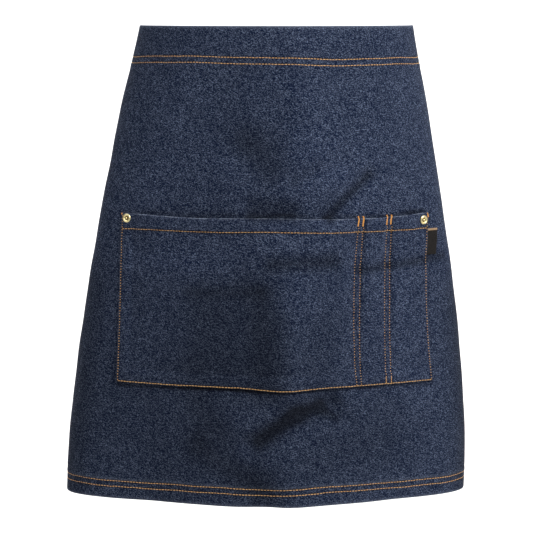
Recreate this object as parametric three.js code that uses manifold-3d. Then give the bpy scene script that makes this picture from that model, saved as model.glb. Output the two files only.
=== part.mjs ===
// Waist apron in raw denim, in the form it has when worn: a flared front panel that wraps
// the hips, with turned hems, a patch pocket divided by two twin seams, two rivets, a bare
// label tab, and two ties that go round the back and meet in a knot.
//
// Lengths are in millimetres and angles in degrees. +Z is up and the front faces -Y. The
// origin is the middle of the waist loop at half the depth of the waistband.

import * as THREE from 'three';
import { mergeVertices } from 'three/addons/utils/BufferGeometryUtils.js';
import Module from 'manifold-3d';

// Cloth and clearances
const denimWall = 1.2;
const tieWall = 2;
const labelWall = 1;
const pieceGap = 0.3;

// Front panel
const panelLength = 500;
const waistArc = 380;
const hemArc = 520;
const waistFront = 100;
const hemFront = 97;
const hemDrift = 12.7;
const waistbandDepth = 40;
const sideHemWidth = 10;
const bottomHemDepth = 18;

// Patch pocket
const pocketDrop = 195.7;
const pocketHeight = 180.8;
const pocketTopWidth = 342.4;
const pocketBottomWidth = 352.6;
const pocketTopShift = 2.5;
const pocketBottomShift = 4.6;
const pocketBow = 5.8;
const pocketCornerLift = 2.5;
const pocketHemDepth = 15;
const pocketTurnWidth = 13;
const pocketGape = 8;
const slotGape = 2;
const twinSeamWidth = 8;
const innerSeamOffset = 90;
const outerSeamOffset = 123.5;

// Rivets
const rivetCapRadius = 4.75;
const rivetCapHeight = 1.7;
const rivetRecessRadius = 2.3;
const rivetRecessDepth = 1;
const rivetNubRadius = 1.2;
const rivetPostRadius = 1.6;
const rivetBackRadius = 4;
const rivetBackHeight = 0.9;
const rivetInset = 7.8;
const leftRivetDrop = 5.2;
const rightRivetDrop = 7.5;

// Label tab
const labelWidth = 12.5;
const labelHeight = 27;
const labelDrop = 17.5;
const labelSeat = 0.6;

// Ties and knot
const tieWidth = 30;
const tieLap = 25;
const loopBack = 105;
const tailLength = 220;
const tailBendRadius = 26;
const tailSplay = 8;
const knotHalfLength = 13;
const knotWall = 3;
const knotNarrowing = 0.62;
const knotSquareness = 0.45;

// Fineness of the facets
const columnCell = 14;
const rowCell = 16;
const roundSides = 16;
const holeSides = 12;
const knotCells = 4;
const sectionSteps = 240;

// How the panel widens and drifts on its way down. Every column is a share: down of the
// panel's length, flare of the growth from the waist's arc to the hem's, drift of hemDrift.
const sections = [
  { down: 0, flare: 0, drift: 0.08 },
  { down: 0.06, flare: 0.1, drift: 0.15 },
  { down: 0.16, flare: 0.245, drift: 0.25 },
  { down: 0.3, flare: 0.36, drift: 0.36 },
  { down: 0.45, flare: 0.51, drift: 0.46 },
  { down: 0.6, flare: 0.71, drift: 0.54 },
  { down: 0.75, flare: 0.87, drift: 0.69 },
  { down: 0.9, flare: 0.985, drift: 0.84 },
  { down: 1, flare: 1, drift: 0.98 },
];

// How far the cloth has turned away from facing forward, from its left edge to its right.
// across is a share of the half arc, the others are angles at the waist and at the hem.
const turns = [
  { across: -1, waist: -90, hem: -98 },
  { across: -0.94, waist: -82, hem: -80 },
  { across: -0.86, waist: -68, hem: -47 },
  { across: -0.75, waist: -51, hem: -26 },
  { across: -0.5, waist: -27, hem: -19 },
  { across: -0.22, waist: -11, hem: -17 },
  { across: 0, waist: 0, hem: 0 },
  { across: 0.22, waist: 11, hem: 17 },
  { across: 0.5, waist: 27, hem: 24 },
  { across: 0.75, waist: 51, hem: 33 },
  { across: 0.86, waist: 68, hem: 52 },
  { across: 0.94, waist: 82, hem: 82 },
  { across: 1, waist: 90, hem: 98 },
];

// Share of the panel's length in which the waist's roundness gives way to the hem's
const turnFade = 0.5;

// Dents (negative rise) and ridges of the hanging cloth, each along a line from its start to
// its end. across is a share of the half arc and down of the panel's length; spread and rise
// are shares of the panel's length.
const folds = [
  { startAcross: -0.17, startDown: 0.26, endAcross: -0.02, endDown: 0.26, spread: 0.044, rise: -0.005 },
  { startAcross: 0.17, startDown: 0.17, endAcross: 0.23, endDown: 0.25, spread: 0.056, rise: 0.004 },
  { startAcross: 0.08, startDown: 0.315, endAcross: 0.34, endDown: 0.278, spread: 0.02, rise: -0.003 },
  { startAcross: 0.24, startDown: 0.385, endAcross: 0.44, endDown: 0.315, spread: 0.022, rise: -0.005 },
  { startAcross: -0.1, startDown: 0.365, endAcross: 0.07, endDown: 0.375, spread: 0.02, rise: -0.004 },
  { startAcross: 0, startDown: 0.48, endAcross: 0.22, endDown: 0.48, spread: 0.018, rise: -0.003 },
  { startAcross: 0.36, startDown: 0.49, endAcross: 0.85, endDown: 0.475, spread: 0.018, rise: -0.003 },
  { startAcross: -0.16, startDown: 0.53, endAcross: -0.14, endDown: 0.74, spread: 0.056, rise: -0.009 },
  { startAcross: 0.04, startDown: 0.53, endAcross: 0.04, endDown: 0.75, spread: 0.04, rise: 0.005 },
  { startAcross: -0.08, startDown: 0.872, endAcross: 0.24, endDown: 0.785, spread: 0.03, rise: -0.01 },
  { startAcross: -0.26, startDown: 0.86, endAcross: -0.01, endDown: 1, spread: 0.032, rise: -0.008 },
  { startAcross: 0.06, startDown: 0.92, endAcross: 0.09, endDown: 1.02, spread: 0.05, rise: 0.006 },
  { startAcross: -0.55, startDown: 0.8, endAcross: -0.5, endDown: 1.02, spread: 0.05, rise: -0.004 },
  { startAcross: 0.5, startDown: 0.82, endAcross: 0.55, endDown: 1.02, spread: 0.05, rise: -0.004 },
];

// Colours of the materials
const denim = { color: 0x2e3646, roughness: 0.92, metalness: 0 };
const tieDenim = { color: 0x2b3342, roughness: 0.92, metalness: 0 };
const brass = { color: 0xc9a24b, roughness: 0.3, metalness: 1 };
const labelCloth = { color: 0x1d1a1b, roughness: 0.8, metalness: 0 };

// A smooth curve through the rows of a table, read at x
function readTable(table, xColumn, column, x) {
  const last = table.length - 1;
  const slope = (i) => {
    const before = table[Math.max(i - 1, 0)];
    const after = table[Math.min(i + 1, last)];
    return (after[column] - before[column]) / (after[xColumn] - before[xColumn]);
  };
  let i = 0;
  while (i < last - 1 && x >= table[i + 1][xColumn]) i += 1;
  const span = table[i + 1][xColumn] - table[i][xColumn];
  const t = (x - table[i][xColumn]) / span;
  const t2 = t * t;
  const t3 = t2 * t;
  return (2 * t3 - 3 * t2 + 1) * table[i][column]
    + (t3 - 2 * t2 + t) * span * slope(i)
    + (3 * t2 - 2 * t3) * table[i + 1][column]
    + (t3 - t2) * span * slope(i + 1);
}

function halfArc(down) {
  const flare = readTable(sections, 'down', 'flare', down / panelLength);
  return (waistArc + (hemArc - waistArc) * flare) / 2;
}

// One level section of the panel: its turn is added up along the cloth, and the curve is set
// so that its widest points lie evenly about the drifting middle line.
const sectionStore = new Map();
function section(down) {
  if (sectionStore.has(down)) return sectionStore.get(down);
  const share = down / panelLength;
  const fade = THREE.MathUtils.smoothstep(share, 0, turnFade);
  const step = (2 * halfArc(down)) / sectionSteps;
  const points = [];
  let x = 0;
  let y = 0;
  let before = 0;
  for (let i = 0; i <= sectionSteps; i += 1) {
    const across = (2 * i) / sectionSteps - 1;
    const waistTurn = readTable(turns, 'across', 'waist', across);
    const hemTurn = readTable(turns, 'across', 'hem', across);
    const turn = THREE.MathUtils.degToRad(waistTurn + (hemTurn - waistTurn) * fade);
    if (i > 0) {
      x += (step * (Math.cos(before) + Math.cos(turn))) / 2;
      y += (step * (Math.sin(before) + Math.sin(turn))) / 2;
    }
    points.push({ x, y, turn });
    before = turn;
  }
  const middle = points[sectionSteps / 2];
  const widest = points.map((p) => p.x);
  const shiftX = -(Math.max(...widest) + Math.min(...widest)) / 2
    - hemDrift * readTable(sections, 'down', 'drift', share);
  const shiftY = -middle.y - (waistFront + (hemFront - waistFront) * share);
  const placed = points.map((p) => ({ x: p.x + shiftX, y: p.y + shiftY, turn: p.turn }));
  sectionStore.set(down, placed);
  return placed;
}

function foldRise(s, down) {
  let rise = 0;
  for (const fold of folds) {
    const half = halfArc(down);
    const ax = (fold.startAcross * half) / panelLength;
    const bx = (fold.endAcross * half) / panelLength;
    const px = s / panelLength - ax;
    const py = down / panelLength - fold.startDown;
    const dx = bx - ax;
    const dy = fold.endDown - fold.startDown;
    const t = THREE.MathUtils.clamp((px * dx + py * dy) / (dx * dx + dy * dy), 0, 1);
    const away = Math.hypot(px - t * dx, py - t * dy) / fold.spread;
    rise += fold.rise * panelLength * Math.exp(-away * away);
  }
  return rise;
}

// The outer face of the panel at distance s along the cloth from its middle and at a drop
// from its top edge, moved out by a distance along the level normal
function onPanel(s, down, out) {
  const points = section(down);
  const half = halfArc(down);
  const at = THREE.MathUtils.clamp(((s / half + 1) / 2) * sectionSteps, 0, sectionSteps);
  const i = Math.min(Math.floor(at), sectionSteps - 1);
  const t = at - i;
  const a = points[i];
  const b = points[i + 1];
  const turn = a.turn + (b.turn - a.turn) * t;
  const reach = out + foldRise(s, down);
  return new THREE.Vector3(
    a.x + (b.x - a.x) * t + Math.sin(turn) * reach,
    a.y + (b.y - a.y) * t - Math.cos(turn) * reach,
    waistbandDepth / 2 - down,
  );
}

// The pocket's half width and middle line, carried on above and below it in proportion. Its
// right edge bows inward at half height.
const pocketTop = pocketDrop;
const pocketBottom = pocketDrop + pocketHeight;
function pocketSpan(down) {
  const inside = THREE.MathUtils.clamp(down, pocketTop, pocketBottom);
  const share = (inside - pocketTop) / pocketHeight;
  const scale = halfArc(down) / halfArc(inside);
  const bow = pocketBow * 4 * share * (1 - share);
  const width = pocketTopWidth + (pocketBottomWidth - pocketTopWidth) * share - bow;
  const shift = pocketTopShift + (pocketBottomShift - pocketTopShift) * share - bow / 2;
  return { half: (width / 2) * scale, middle: shift * scale, scale };
}

// Grid lines shared by every layer of cloth, so that faces which lie on one another match.
// A line of breaks is divided into cells, and breaks are worked out again for each row.
function columnBreaks(down) {
  const half = halfArc(down);
  const { half: pocketHalf, middle, scale } = pocketSpan(down);
  const left = middle - pocketHalf;
  const right = middle + pocketHalf;
  const inner = middle + innerSeamOffset * scale;
  const outer = middle + outerSeamOffset * scale;
  const seam = (twinSeamWidth / 2) * scale;
  const turn = pocketTurnWidth * scale;
  return [
    -half, -half + sideHemWidth, left, left + turn, inner - seam, inner + seam,
    outer - seam, outer + seam, right - turn, right, half - sideHemWidth, half,
  ];
}

function cellsBetween(breaks, cell) {
  return breaks.slice(1).map((b, i) => Math.max(1, Math.round((b - breaks[i]) / cell)));
}

const pocketBreaks = columnBreaks((pocketTop + pocketBottom) / 2);
const columnCells = cellsBetween(pocketBreaks, columnCell);
const hemColumnCells = cellsBetween(columnBreaks(panelLength), columnCell);
columnCells[1] = hemColumnCells[1];
columnCells[columnCells.length - 2] = hemColumnCells[columnCells.length - 2];

const rowBreaks = [
  0, waistbandDepth, pocketTop, pocketTop + pocketHemDepth, pocketBottom - pocketTurnWidth,
  pocketBottom, panelLength - bottomHemDepth, panelLength,
];
const rowCells = cellsBetween(rowBreaks, rowCell);

function spread(breaks, cells) {
  const lines = [breaks[0]];
  cells.forEach((count, i) => {
    for (let k = 1; k <= count; k += 1) {
      lines.push(breaks[i] + ((breaks[i + 1] - breaks[i]) * k) / count);
    }
  });
  return lines;
}

const rowLines = spread(rowBreaks, rowCells);
const columnStart = (breakIndex) => columnCells.slice(0, breakIndex).reduce((a, b) => a + b, 0);
const rowStart = (breakIndex) => rowCells.slice(0, breakIndex).reduce((a, b) => a + b, 0);
const columnCount = columnStart(columnCells.length);
const rowCount = rowStart(rowCells.length);

// The pocket's lower corners sit a little higher than the middle of its lower edge
function liftedDown(s, down) {
  const { half, middle } = pocketSpan(down);
  const above = THREE.MathUtils.smoothstep(down, pocketTop, pocketBottom);
  const below = 1 - THREE.MathUtils.smoothstep(down, pocketBottom, panelLength - bottomHemDepth);
  const aside = Math.min(((s - middle) / half) ** 2, 1);
  return down - pocketCornerLift * Math.min(above, below) * aside;
}

// A layer of cloth over part of the shared grid. The grid of a box is moved so that its front
// becomes the outer face and its back the inner face.
function clothLayer({ columns, rows, outer, inner, trim }) {
  const across = columns[1] - columns[0];
  const along = rows[1] - rows[0];
  const geometry = new THREE.BoxGeometry(1, 1, 1, across, along, 1);
  const position = geometry.attributes.position;
  for (let k = 0; k < position.count; k += 1) {
    const column = columns[0] + Math.round((position.getX(k) + 0.5) * across);
    const row = rows[0] + Math.round((0.5 - position.getY(k)) * along);
    let down = rowLines[row];
    const lines = spread(columnBreaks(down), columnCells);
    let s = lines[column];
    if (row === rows[0]) down += trim.top;
    if (row === rows[1]) down -= trim.bottom;
    if (column === columns[0]) s += trim.left;
    if (column === columns[1]) s -= trim.right;
    const lifted = liftedDown(s, down);
    const side = position.getZ(k) > 0 ? outer : inner;
    const point = onPanel(s, lifted, side(s, down, column, row));
    position.setXYZ(k, point.x, point.y, point.z);
  }
  matchDiagonals(geometry);
  return welded(geometry);
}

// A box splits the cells of its back along the other diagonal than its front. The back is the
// last group of faces, and turning its diagonals keeps faces that lie on one another apart.
function matchDiagonals(geometry) {
  const back = geometry.groups[geometry.groups.length - 1];
  const index = geometry.index;
  for (let k = back.start; k < back.start + back.count; k += 6) {
    const [a, b, d] = [index.getX(k), index.getX(k + 1), index.getX(k + 2)];
    const c = index.getX(k + 4);
    [a, b, c, a, c, d].forEach((corner, n) => index.setX(k + n, corner));
  }
}

// Only the positions are kept, with the shared corners merged
function welded(geometry) {
  const bare = geometry.index ? geometry.clone() : mergeVertices(geometry);
  bare.deleteAttribute('normal');
  bare.deleteAttribute('uv');
  bare.clearGroups();
  return mergeVertices(bare, 1e-4);
}

const wasm = await Module();
wasm.setup();

function toSolid(geometry) {
  const merged = welded(geometry);
  return new wasm.Manifold(new wasm.Mesh({
    numProp: 3,
    vertProperties: Float32Array.from(merged.attributes.position.array),
    triVerts: Uint32Array.from(merged.index.array),
  }));
}

function fromSolid(solid) {
  const mesh = solid.getMesh();
  const geometry = new THREE.BufferGeometry();
  geometry.setAttribute('position', new THREE.BufferAttribute(mesh.vertProperties, 3));
  geometry.setIndex(new THREE.BufferAttribute(mesh.triVerts, 1));
  return geometry;
}

function piece(name, geometry, look) {
  geometry.computeVertexNormals();
  const mesh = new THREE.Mesh(geometry, new THREE.MeshStandardMaterial(look));
  mesh.name = name;
  return mesh;
}

const untrimmed = { top: 0, bottom: 0, left: 0, right: 0 };

// Offsets of the layers from the panel's outer face
const panelInner = -denimWall;
const hemOuter = panelInner - pieceGap;
const hemInner = hemOuter - denimWall;
const tieOuter = hemInner - pieceGap;
const tieInner = tieOuter - tieWall;
const pocketSeat = pieceGap;
const pocketEdgeOuter = pocketSeat + 2 * denimWall;

// How far the pocket stands off the panel: sewn down at its edges and twin seams, and gaping
// between them, most at its open top
function pocketStandoff(s, down) {
  const { half, middle, scale } = pocketSpan(down);
  const right = middle + half;
  const inner = middle + innerSeamOffset * scale;
  const outer = middle + outerSeamOffset * scale;
  const seam = (twinSeamWidth / 2) * scale;
  const rooms = [
    { from: middle - half + pocketTurnWidth, to: inner - seam, gape: pocketGape },
    { from: inner + seam, to: outer - seam, gape: slotGape },
    { from: outer + seam, to: right - pocketTurnWidth, gape: slotGape },
  ];
  const deep = (down - pocketTop) / (pocketHeight - pocketTurnWidth);
  const room = rooms.find((r) => s > r.from && s < r.to);
  if (!room || deep >= 1) return 0;
  const t = (2 * (s - room.from)) / (room.to - room.from) - 1;
  return (denimWall + room.gape) * (1 - t ** 4) * (1 - deep ** 3);
}

const pocketColumns = [columnStart(2), columnStart(9)];
const pocketRows = [rowStart(2), rowStart(5)];
const pocketTurnColumns = [columnStart(3), columnStart(8)];
const pocketTurnRows = [rowStart(3), rowStart(4)];

function pocketInnerOffset(s, down) {
  return pocketSeat + pocketStandoff(s, down);
}

function pocketOuterOffset(s, down, column, row) {
  const edgeColumn = column <= pocketTurnColumns[0] || column >= pocketTurnColumns[1];
  const edgeRow = row <= pocketTurnRows[0] || row >= pocketTurnRows[1];
  const layers = edgeColumn || edgeRow ? 2 : 1;
  return pocketInnerOffset(s, down) + layers * denimWall;
}

// Rivets through the pocket's top corners and the panel
const rivetSpots = [
  { name: 'rivet_left', side: -1, drop: leftRivetDrop },
  { name: 'rivet_right', side: 1, drop: rightRivetDrop },
].map((spot) => {
  const down = pocketTop + spot.drop;
  const { half, middle } = pocketSpan(down);
  const s = middle + spot.side * (half - rivetInset);
  const at = onPanel(s, down, 0);
  const alongS = onPanel(s + rivetCapRadius, down, 0).sub(onPanel(s - rivetCapRadius, down, 0));
  const alongZ = onPanel(s, down - rivetCapRadius, 0).sub(onPanel(s, down + rivetCapRadius, 0));
  const normal = alongS.cross(alongZ).normalize();
  const turn = new THREE.Quaternion().setFromUnitVectors(new THREE.Vector3(0, 1, 0), normal);
  const capSeat = pieceGap + Math.max(...heights(s, down, at, normal, rivetCapRadius, pocketEdgeOuter));
  const backSeat = Math.min(...heights(s, down, at, normal, rivetBackRadius, panelInner)) - pieceGap;
  return { ...spot, at, turn, capSeat, backSeat };
});

// Heights along a normal of a layer of cloth round a spot, so that a flat cap clears it
function heights(s, down, at, normal, radius, out) {
  return [0, 1, 2, 3, 4, 5, 6, 7, 8].map((i) => {
    const angle = (i * Math.PI) / 4;
    const reach = i === 8 ? 0 : radius;
    const point = onPanel(s + reach * Math.cos(angle), down + reach * Math.sin(angle), out);
    return point.sub(at).dot(normal);
  });
}

function rivetGeometry({ capSeat, backSeat }) {
  const top = capSeat + rivetCapHeight;
  const recess = top - rivetRecessDepth;
  const rim = capSeat + rivetCapHeight / 2;
  const crown = (rivetRecessRadius + rivetCapRadius) / 2;
  const back = backSeat - rivetBackHeight;
  const profile = [
    [0, back], [rivetBackRadius, back], [rivetBackRadius, backSeat],
    [rivetPostRadius, backSeat], [rivetPostRadius, capSeat],
    [rivetCapRadius, capSeat], [rivetCapRadius, rim], [crown, top],
    [rivetRecessRadius, recess], [rivetNubRadius, recess],
    [rivetNubRadius / 2, top - rivetRecessDepth / 3], [0, top - rivetRecessDepth / 4],
  ].map(([r, y]) => new THREE.Vector2(r, y));
  return new THREE.LatheGeometry(profile, roundSides);
}

function rivetHole(spot) {
  const length = 2 * (pocketEdgeOuter + denimWall) + rivetCapHeight + rivetBackHeight;
  const hole = new THREE.CylinderGeometry(
    rivetPostRadius + pieceGap,
    rivetPostRadius + pieceGap,
    length,
    holeSides,
  );
  hole.applyQuaternion(spot.turn);
  hole.translate(spot.at.x, spot.at.y, spot.at.z);
  return toSolid(hole);
}

function drilled(geometry) {
  let solid = toSolid(geometry);
  for (const spot of rivetSpots) solid = solid.subtract(rivetHole(spot));
  return fromSolid(solid);
}

// The label tab lies on the panel with its sewn edge against the pocket's right edge
function labelGeometry() {
  const cells = [Math.max(1, Math.round(labelWidth / 4)), Math.max(1, Math.round(labelHeight / 9))];
  const geometry = new THREE.BoxGeometry(1, 1, 1, cells[0], cells[1], 1);
  const position = geometry.attributes.position;
  for (let k = 0; k < position.count; k += 1) {
    const down = pocketTop + labelDrop + (0.5 - position.getY(k)) * labelHeight;
    const { half, middle } = pocketSpan(down);
    const s = middle + half + pieceGap + (position.getX(k) + 0.5) * labelWidth;
    const out = position.getZ(k) > 0 ? labelSeat + labelWall : labelSeat;
    const point = onPanel(s, liftedDown(s, down), out);
    position.setXYZ(k, point.x, point.y, point.z);
  }
  return welded(geometry);
}

// The waist loop behind the panel: half an oval for each height, from one side edge of the
// panel round the back to the other, with 'out' measured outward from the ties' inner face
const bandHalf = waistbandDepth / 2;
function loopEdge(side, z) {
  const down = bandHalf - THREE.MathUtils.clamp(z, -bandHalf, bandHalf);
  return onPanel(side * halfArc(down), down, tieInner);
}

function onLoop(x, z, out) {
  const left = loopEdge(-1, z);
  const right = loopEdge(1, z);
  const middle = (left.x + right.x) / 2;
  const reach = (right.x - left.x) / 2;
  const t = THREE.MathUtils.clamp((x - middle) / reach, -1, 1);
  const edgeY = left.y + ((right.y - left.y) * (t + 1)) / 2;
  const y = edgeY + loopBack * Math.sqrt(1 - t * t);
  const normal = new THREE.Vector2(t * loopBack, Math.sqrt(1 - t * t) * reach).normalize();
  return new THREE.Vector3(middle + t * reach + normal.x * out, y + normal.y * out, z);
}

// Route of a tie: lapped inside the waistband's end, round the back, through the knot, and
// down as a free tail. Each station holds the places across the strap's width.
function tieStations(side, lift) {
  const stations = [];
  const lapCells = 3;
  for (let i = 0; i <= lapCells; i += 1) {
    const back = tieLap * (1 - i / lapCells);
    stations.push((k, out) => {
      const z = k * tieWidth;
      const down = bandHalf - z;
      return onPanel(side * (halfArc(down) - back), down, tieInner + tieWall - out);
    });
  }
  const edge = loopEdge(side, 0);
  const far = loopEdge(-side, 0);
  const middle = (edge.x + far.x) / 2;
  const reach = Math.abs(edge.x - far.x) / 2;
  const knotAngle = Math.acos(knotHalfLength / reach);
  const loopCells = 13;
  for (let i = 1; i <= loopCells; i += 1) {
    const angle = (knotAngle * i) / loopCells;
    const shift = lift * THREE.MathUtils.smoothstep(angle, 0, knotAngle * 0.6);
    const near = THREE.MathUtils.smoothstep(i / loopCells, 0.8, 1);
    const width = tieWidth * (1 - (1 - knotNarrowing) * near);
    const cosine = Math.cos(angle);
    stations.push((k, out) => {
      const z = k * width;
      const ownEdge = loopEdge(side, z).x;
      const ownFar = loopEdge(-side, z).x;
      const x = (ownEdge + ownFar) / 2 + (ownEdge - ownFar) / 2 * cosine;
      return onLoop(x, z, shift + out);
    });
  }
  for (let i = 1; i < knotCells; i += 1) {
    const x = middle + side * knotHalfLength * (1 - (2 * i) / knotCells);
    stations.push((k, out) => onLoop(x, k * tieWidth * knotNarrowing, lift + out));
  }
  const bendCells = 5;
  const bendEnd = 90 - tailSplay;
  for (let i = 0; i <= bendCells; i += 1) {
    const angle = THREE.MathUtils.degToRad((bendEnd * i) / bendCells);
    const near = 1 - THREE.MathUtils.smoothstep(i / bendCells, 0, 0.6);
    const width = tieWidth * (1 - (1 - knotNarrowing) * near);
    const x0 = knotHalfLength + tailBendRadius * Math.sin(angle);
    const z0 = -tailBendRadius * (1 - Math.cos(angle));
    stations.push((k, out) => {
      const x = middle - side * (x0 + Math.sin(angle) * k * width);
      return onLoop(x, z0 + Math.cos(angle) * k * width, lift + out);
    });
  }
  const angle = THREE.MathUtils.degToRad(bendEnd);
  const tailCells = 6;
  for (let i = 1; i <= tailCells; i += 1) {
    const run = (tailLength * i) / tailCells;
    const x0 = knotHalfLength + tailBendRadius * Math.sin(angle) + run * Math.cos(angle);
    const z0 = -tailBendRadius * (1 - Math.cos(angle)) - run * Math.sin(angle);
    stations.push((k, out) => {
      const x = middle - side * (x0 + Math.sin(angle) * k * tieWidth);
      return onLoop(x, z0 + Math.cos(angle) * k * tieWidth, lift + out);
    });
  }
  return stations;
}

function tieGeometry(side, lift) {
  const stations = tieStations(side, lift);
  const widthCells = 2;
  const geometry = new THREE.BoxGeometry(1, 1, 1, stations.length - 1, widthCells, 1);
  const position = geometry.attributes.position;
  for (let k = 0; k < position.count; k += 1) {
    const along = position.getX(k) + 0.5;
    const i = Math.round(along * (stations.length - 1));
    const outer = position.getZ(k) > 0 ? tieWall : 0;
    const point = stations[side > 0 ? i : stations.length - 1 - i](position.getY(k), outer);
    position.setXYZ(k, point.x, point.y, point.z);
  }
  return welded(geometry);
}

// The knot: a soft sleeve of gathered cloth round both ties where they cross
function knotGeometry() {
  const middle = (loopEdge(-1, 0).x + loopEdge(1, 0).x) / 2;
  const clearHigh = (tieWidth * knotNarrowing) / 2 + pieceGap;
  const layers = 2 * tieWall + pieceGap;
  const clearDeep = layers / 2 + pieceGap;
  const cellsAround = knotCells * 2 + 2;
  const ring = new THREE.TorusGeometry(2, 1, cellsAround, roundSides);
  const position = ring.attributes.position;
  for (let k = 0; k < position.count; k += 1) {
    const j = Math.floor(k / (roundSides + 1)) % cellsAround;
    const i = (k % (roundSides + 1)) % roundSides;
    const angle = (2 * Math.PI * i) / roundSides;
    const cos = Math.cos(angle);
    const sin = Math.sin(angle);
    const outside = j <= knotCells;
    const run = outside ? j / knotCells : 1 - (j - knotCells - 1) / knotCells;
    const swell = knotWall * (0.55 + 0.45 * Math.sin(Math.PI * run));
    const square = 1 / Math.max(Math.abs(cos), Math.abs(sin));
    const round = (value) => Math.sign(value) * Math.abs(value) ** knotSquareness;
    const z = outside ? round(sin) * (clearHigh + swell) : sin * square * clearHigh;
    const across = outside ? round(cos) * (clearDeep + swell) : cos * square * clearDeep;
    const x = middle + (2 * run - 1) * knotHalfLength;
    const point = onLoop(x, z, (layers / 2) + across);
    position.setXYZ(k, point.x, point.y, point.z);
  }
  return welded(ring);
}

const apron = new THREE.Group();

apron.add(piece('front_panel', drilled(clothLayer({
  columns: [0, columnCount],
  rows: [0, rowCount],
  outer: () => 0,
  inner: () => panelInner,
  trim: untrimmed,
})), denim));

apron.add(piece('waistband', clothLayer({
  columns: [0, columnCount],
  rows: [0, rowStart(1)],
  outer: () => hemOuter,
  inner: () => hemInner,
  trim: untrimmed,
}), denim));

apron.add(piece('bottom_hem', clothLayer({
  columns: [0, columnCount],
  rows: [rowStart(6), rowCount],
  outer: () => hemOuter,
  inner: () => hemInner,
  trim: untrimmed,
}), denim));

const sideHemTrim = { top: pieceGap, bottom: pieceGap, left: 0, right: 0 };
apron.add(piece('side_hem_left', clothLayer({
  columns: [0, columnStart(1)],
  rows: [rowStart(1), rowStart(6)],
  outer: () => hemOuter,
  inner: () => hemInner,
  trim: sideHemTrim,
}), denim));

apron.add(piece('side_hem_right', clothLayer({
  columns: [columnStart(10), columnCount],
  rows: [rowStart(1), rowStart(6)],
  outer: () => hemOuter,
  inner: () => hemInner,
  trim: sideHemTrim,
}), denim));

apron.add(piece('pocket', drilled(clothLayer({
  columns: pocketColumns,
  rows: pocketRows,
  outer: pocketOuterOffset,
  inner: pocketInnerOffset,
  trim: untrimmed,
})), denim));

for (const spot of rivetSpots) {
  const rivet = piece(spot.name, welded(rivetGeometry(spot)), brass);
  rivet.quaternion.copy(spot.turn);
  rivet.position.copy(spot.at);
  apron.add(rivet);
}

apron.add(piece('label_tab', labelGeometry(), labelCloth));
apron.add(piece('tie_left', tieGeometry(-1, 0), tieDenim));
apron.add(piece('tie_right', tieGeometry(1, tieWall + pieceGap), tieDenim));
apron.add(piece('tie_knot', knotGeometry(), tieDenim));

export default apron;
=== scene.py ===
"""Raw denim waist apron in the form it has when worn, with its riveted pocket, its sewn rows,
its bare label tab and the ties knotted behind.

Shapes are worked out in millimetres on the cloth: s runs across it from its middle line, down
runs from its top edge, and out is the height above its outer face. They become metres when a
mesh is made.
"""

import bpy
import numpy as np
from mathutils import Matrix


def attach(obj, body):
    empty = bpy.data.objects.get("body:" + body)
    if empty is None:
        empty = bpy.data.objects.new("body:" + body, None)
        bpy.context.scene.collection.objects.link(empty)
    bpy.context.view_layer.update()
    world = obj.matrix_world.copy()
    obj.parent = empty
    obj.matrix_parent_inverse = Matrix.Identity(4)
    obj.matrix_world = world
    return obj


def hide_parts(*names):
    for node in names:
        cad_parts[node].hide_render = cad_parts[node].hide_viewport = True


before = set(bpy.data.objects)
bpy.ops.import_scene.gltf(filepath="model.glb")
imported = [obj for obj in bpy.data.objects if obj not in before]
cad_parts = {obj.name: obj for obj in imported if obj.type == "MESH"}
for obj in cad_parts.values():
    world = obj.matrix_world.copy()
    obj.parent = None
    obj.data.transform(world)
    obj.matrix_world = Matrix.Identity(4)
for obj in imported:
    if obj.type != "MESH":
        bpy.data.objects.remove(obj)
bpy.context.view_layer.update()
rng = np.random.default_rng(8)
MM = 0.001


def in_scene(name, data):
    """A new object of that data, linked into the scene."""
    thing = bpy.data.objects.new(name, data)
    bpy.context.scene.collection.objects.link(thing)
    return thing


# --- Camera ---

CAMERA_PLACE = (-0.0115, -2.4, 0.045)
CAMERA_LENS = 152.17
CAMERA_SENSOR = 36
CAMERA_TILT = np.radians(90 - 6.72)

camera_data = bpy.data.cameras.new("apron_camera")
camera_data.lens = CAMERA_LENS
camera_data.sensor_width = CAMERA_SENSOR
camera = in_scene("apron_camera", camera_data)
camera.location = CAMERA_PLACE
camera.rotation_euler = (CAMERA_TILT, 0, 0)
bpy.context.scene.camera = camera

# --- Cutting sizes, in millimetres ---

CLOTH = 1.2
GAP = 0.3
LENGTH = 500
WAIST_ARC = 380
HEM_ARC = 520
WAIST_FRONT = 100
HEM_FRONT = 97
HEM_DRIFT = 12.7
BAND_DEPTH = 40
SIDE_HEM = 10
BOTTOM_HEM = 18
TURN_FADE = 0.5
SIDE_ROW = 7.2
ROW_INSET = 2.2

POCKET_TOP = 195.7
POCKET_HEIGHT = 180.8
POCKET_BOTTOM = POCKET_TOP + POCKET_HEIGHT
POCKET_TOP_WIDTH = 342.4
POCKET_BOTTOM_WIDTH = 352.6
POCKET_TOP_SHIFT = 2.5
POCKET_BOTTOM_SHIFT = 4.6
POCKET_BOW = 5.8
POCKET_CORNER_LIFT = 2.5
POCKET_HEM = 15
POCKET_TURN = 13
POCKET_SIDE_ROW = 1.9
POCKET_LOW_ROW = 1.3
POCKET_GAPE = 8
SLOT_GAPE = 2

TIE_WIDTH = 30
TIE_WALL = 2
TIE_LAP = 25
LOOP_BACK = 105
TAIL_LENGTH = 220
TAIL_BEND = 26
TAIL_SPLAY = 8
KNOT_HALF = 13
KNOT_WALL = 3
KNOT_NARROWING = 0.62

HEM_OUTER = -CLOTH - GAP
HEM_INNER = HEM_OUTER - CLOTH
TIE_INNER = HEM_INNER - GAP - TIE_WALL

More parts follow.
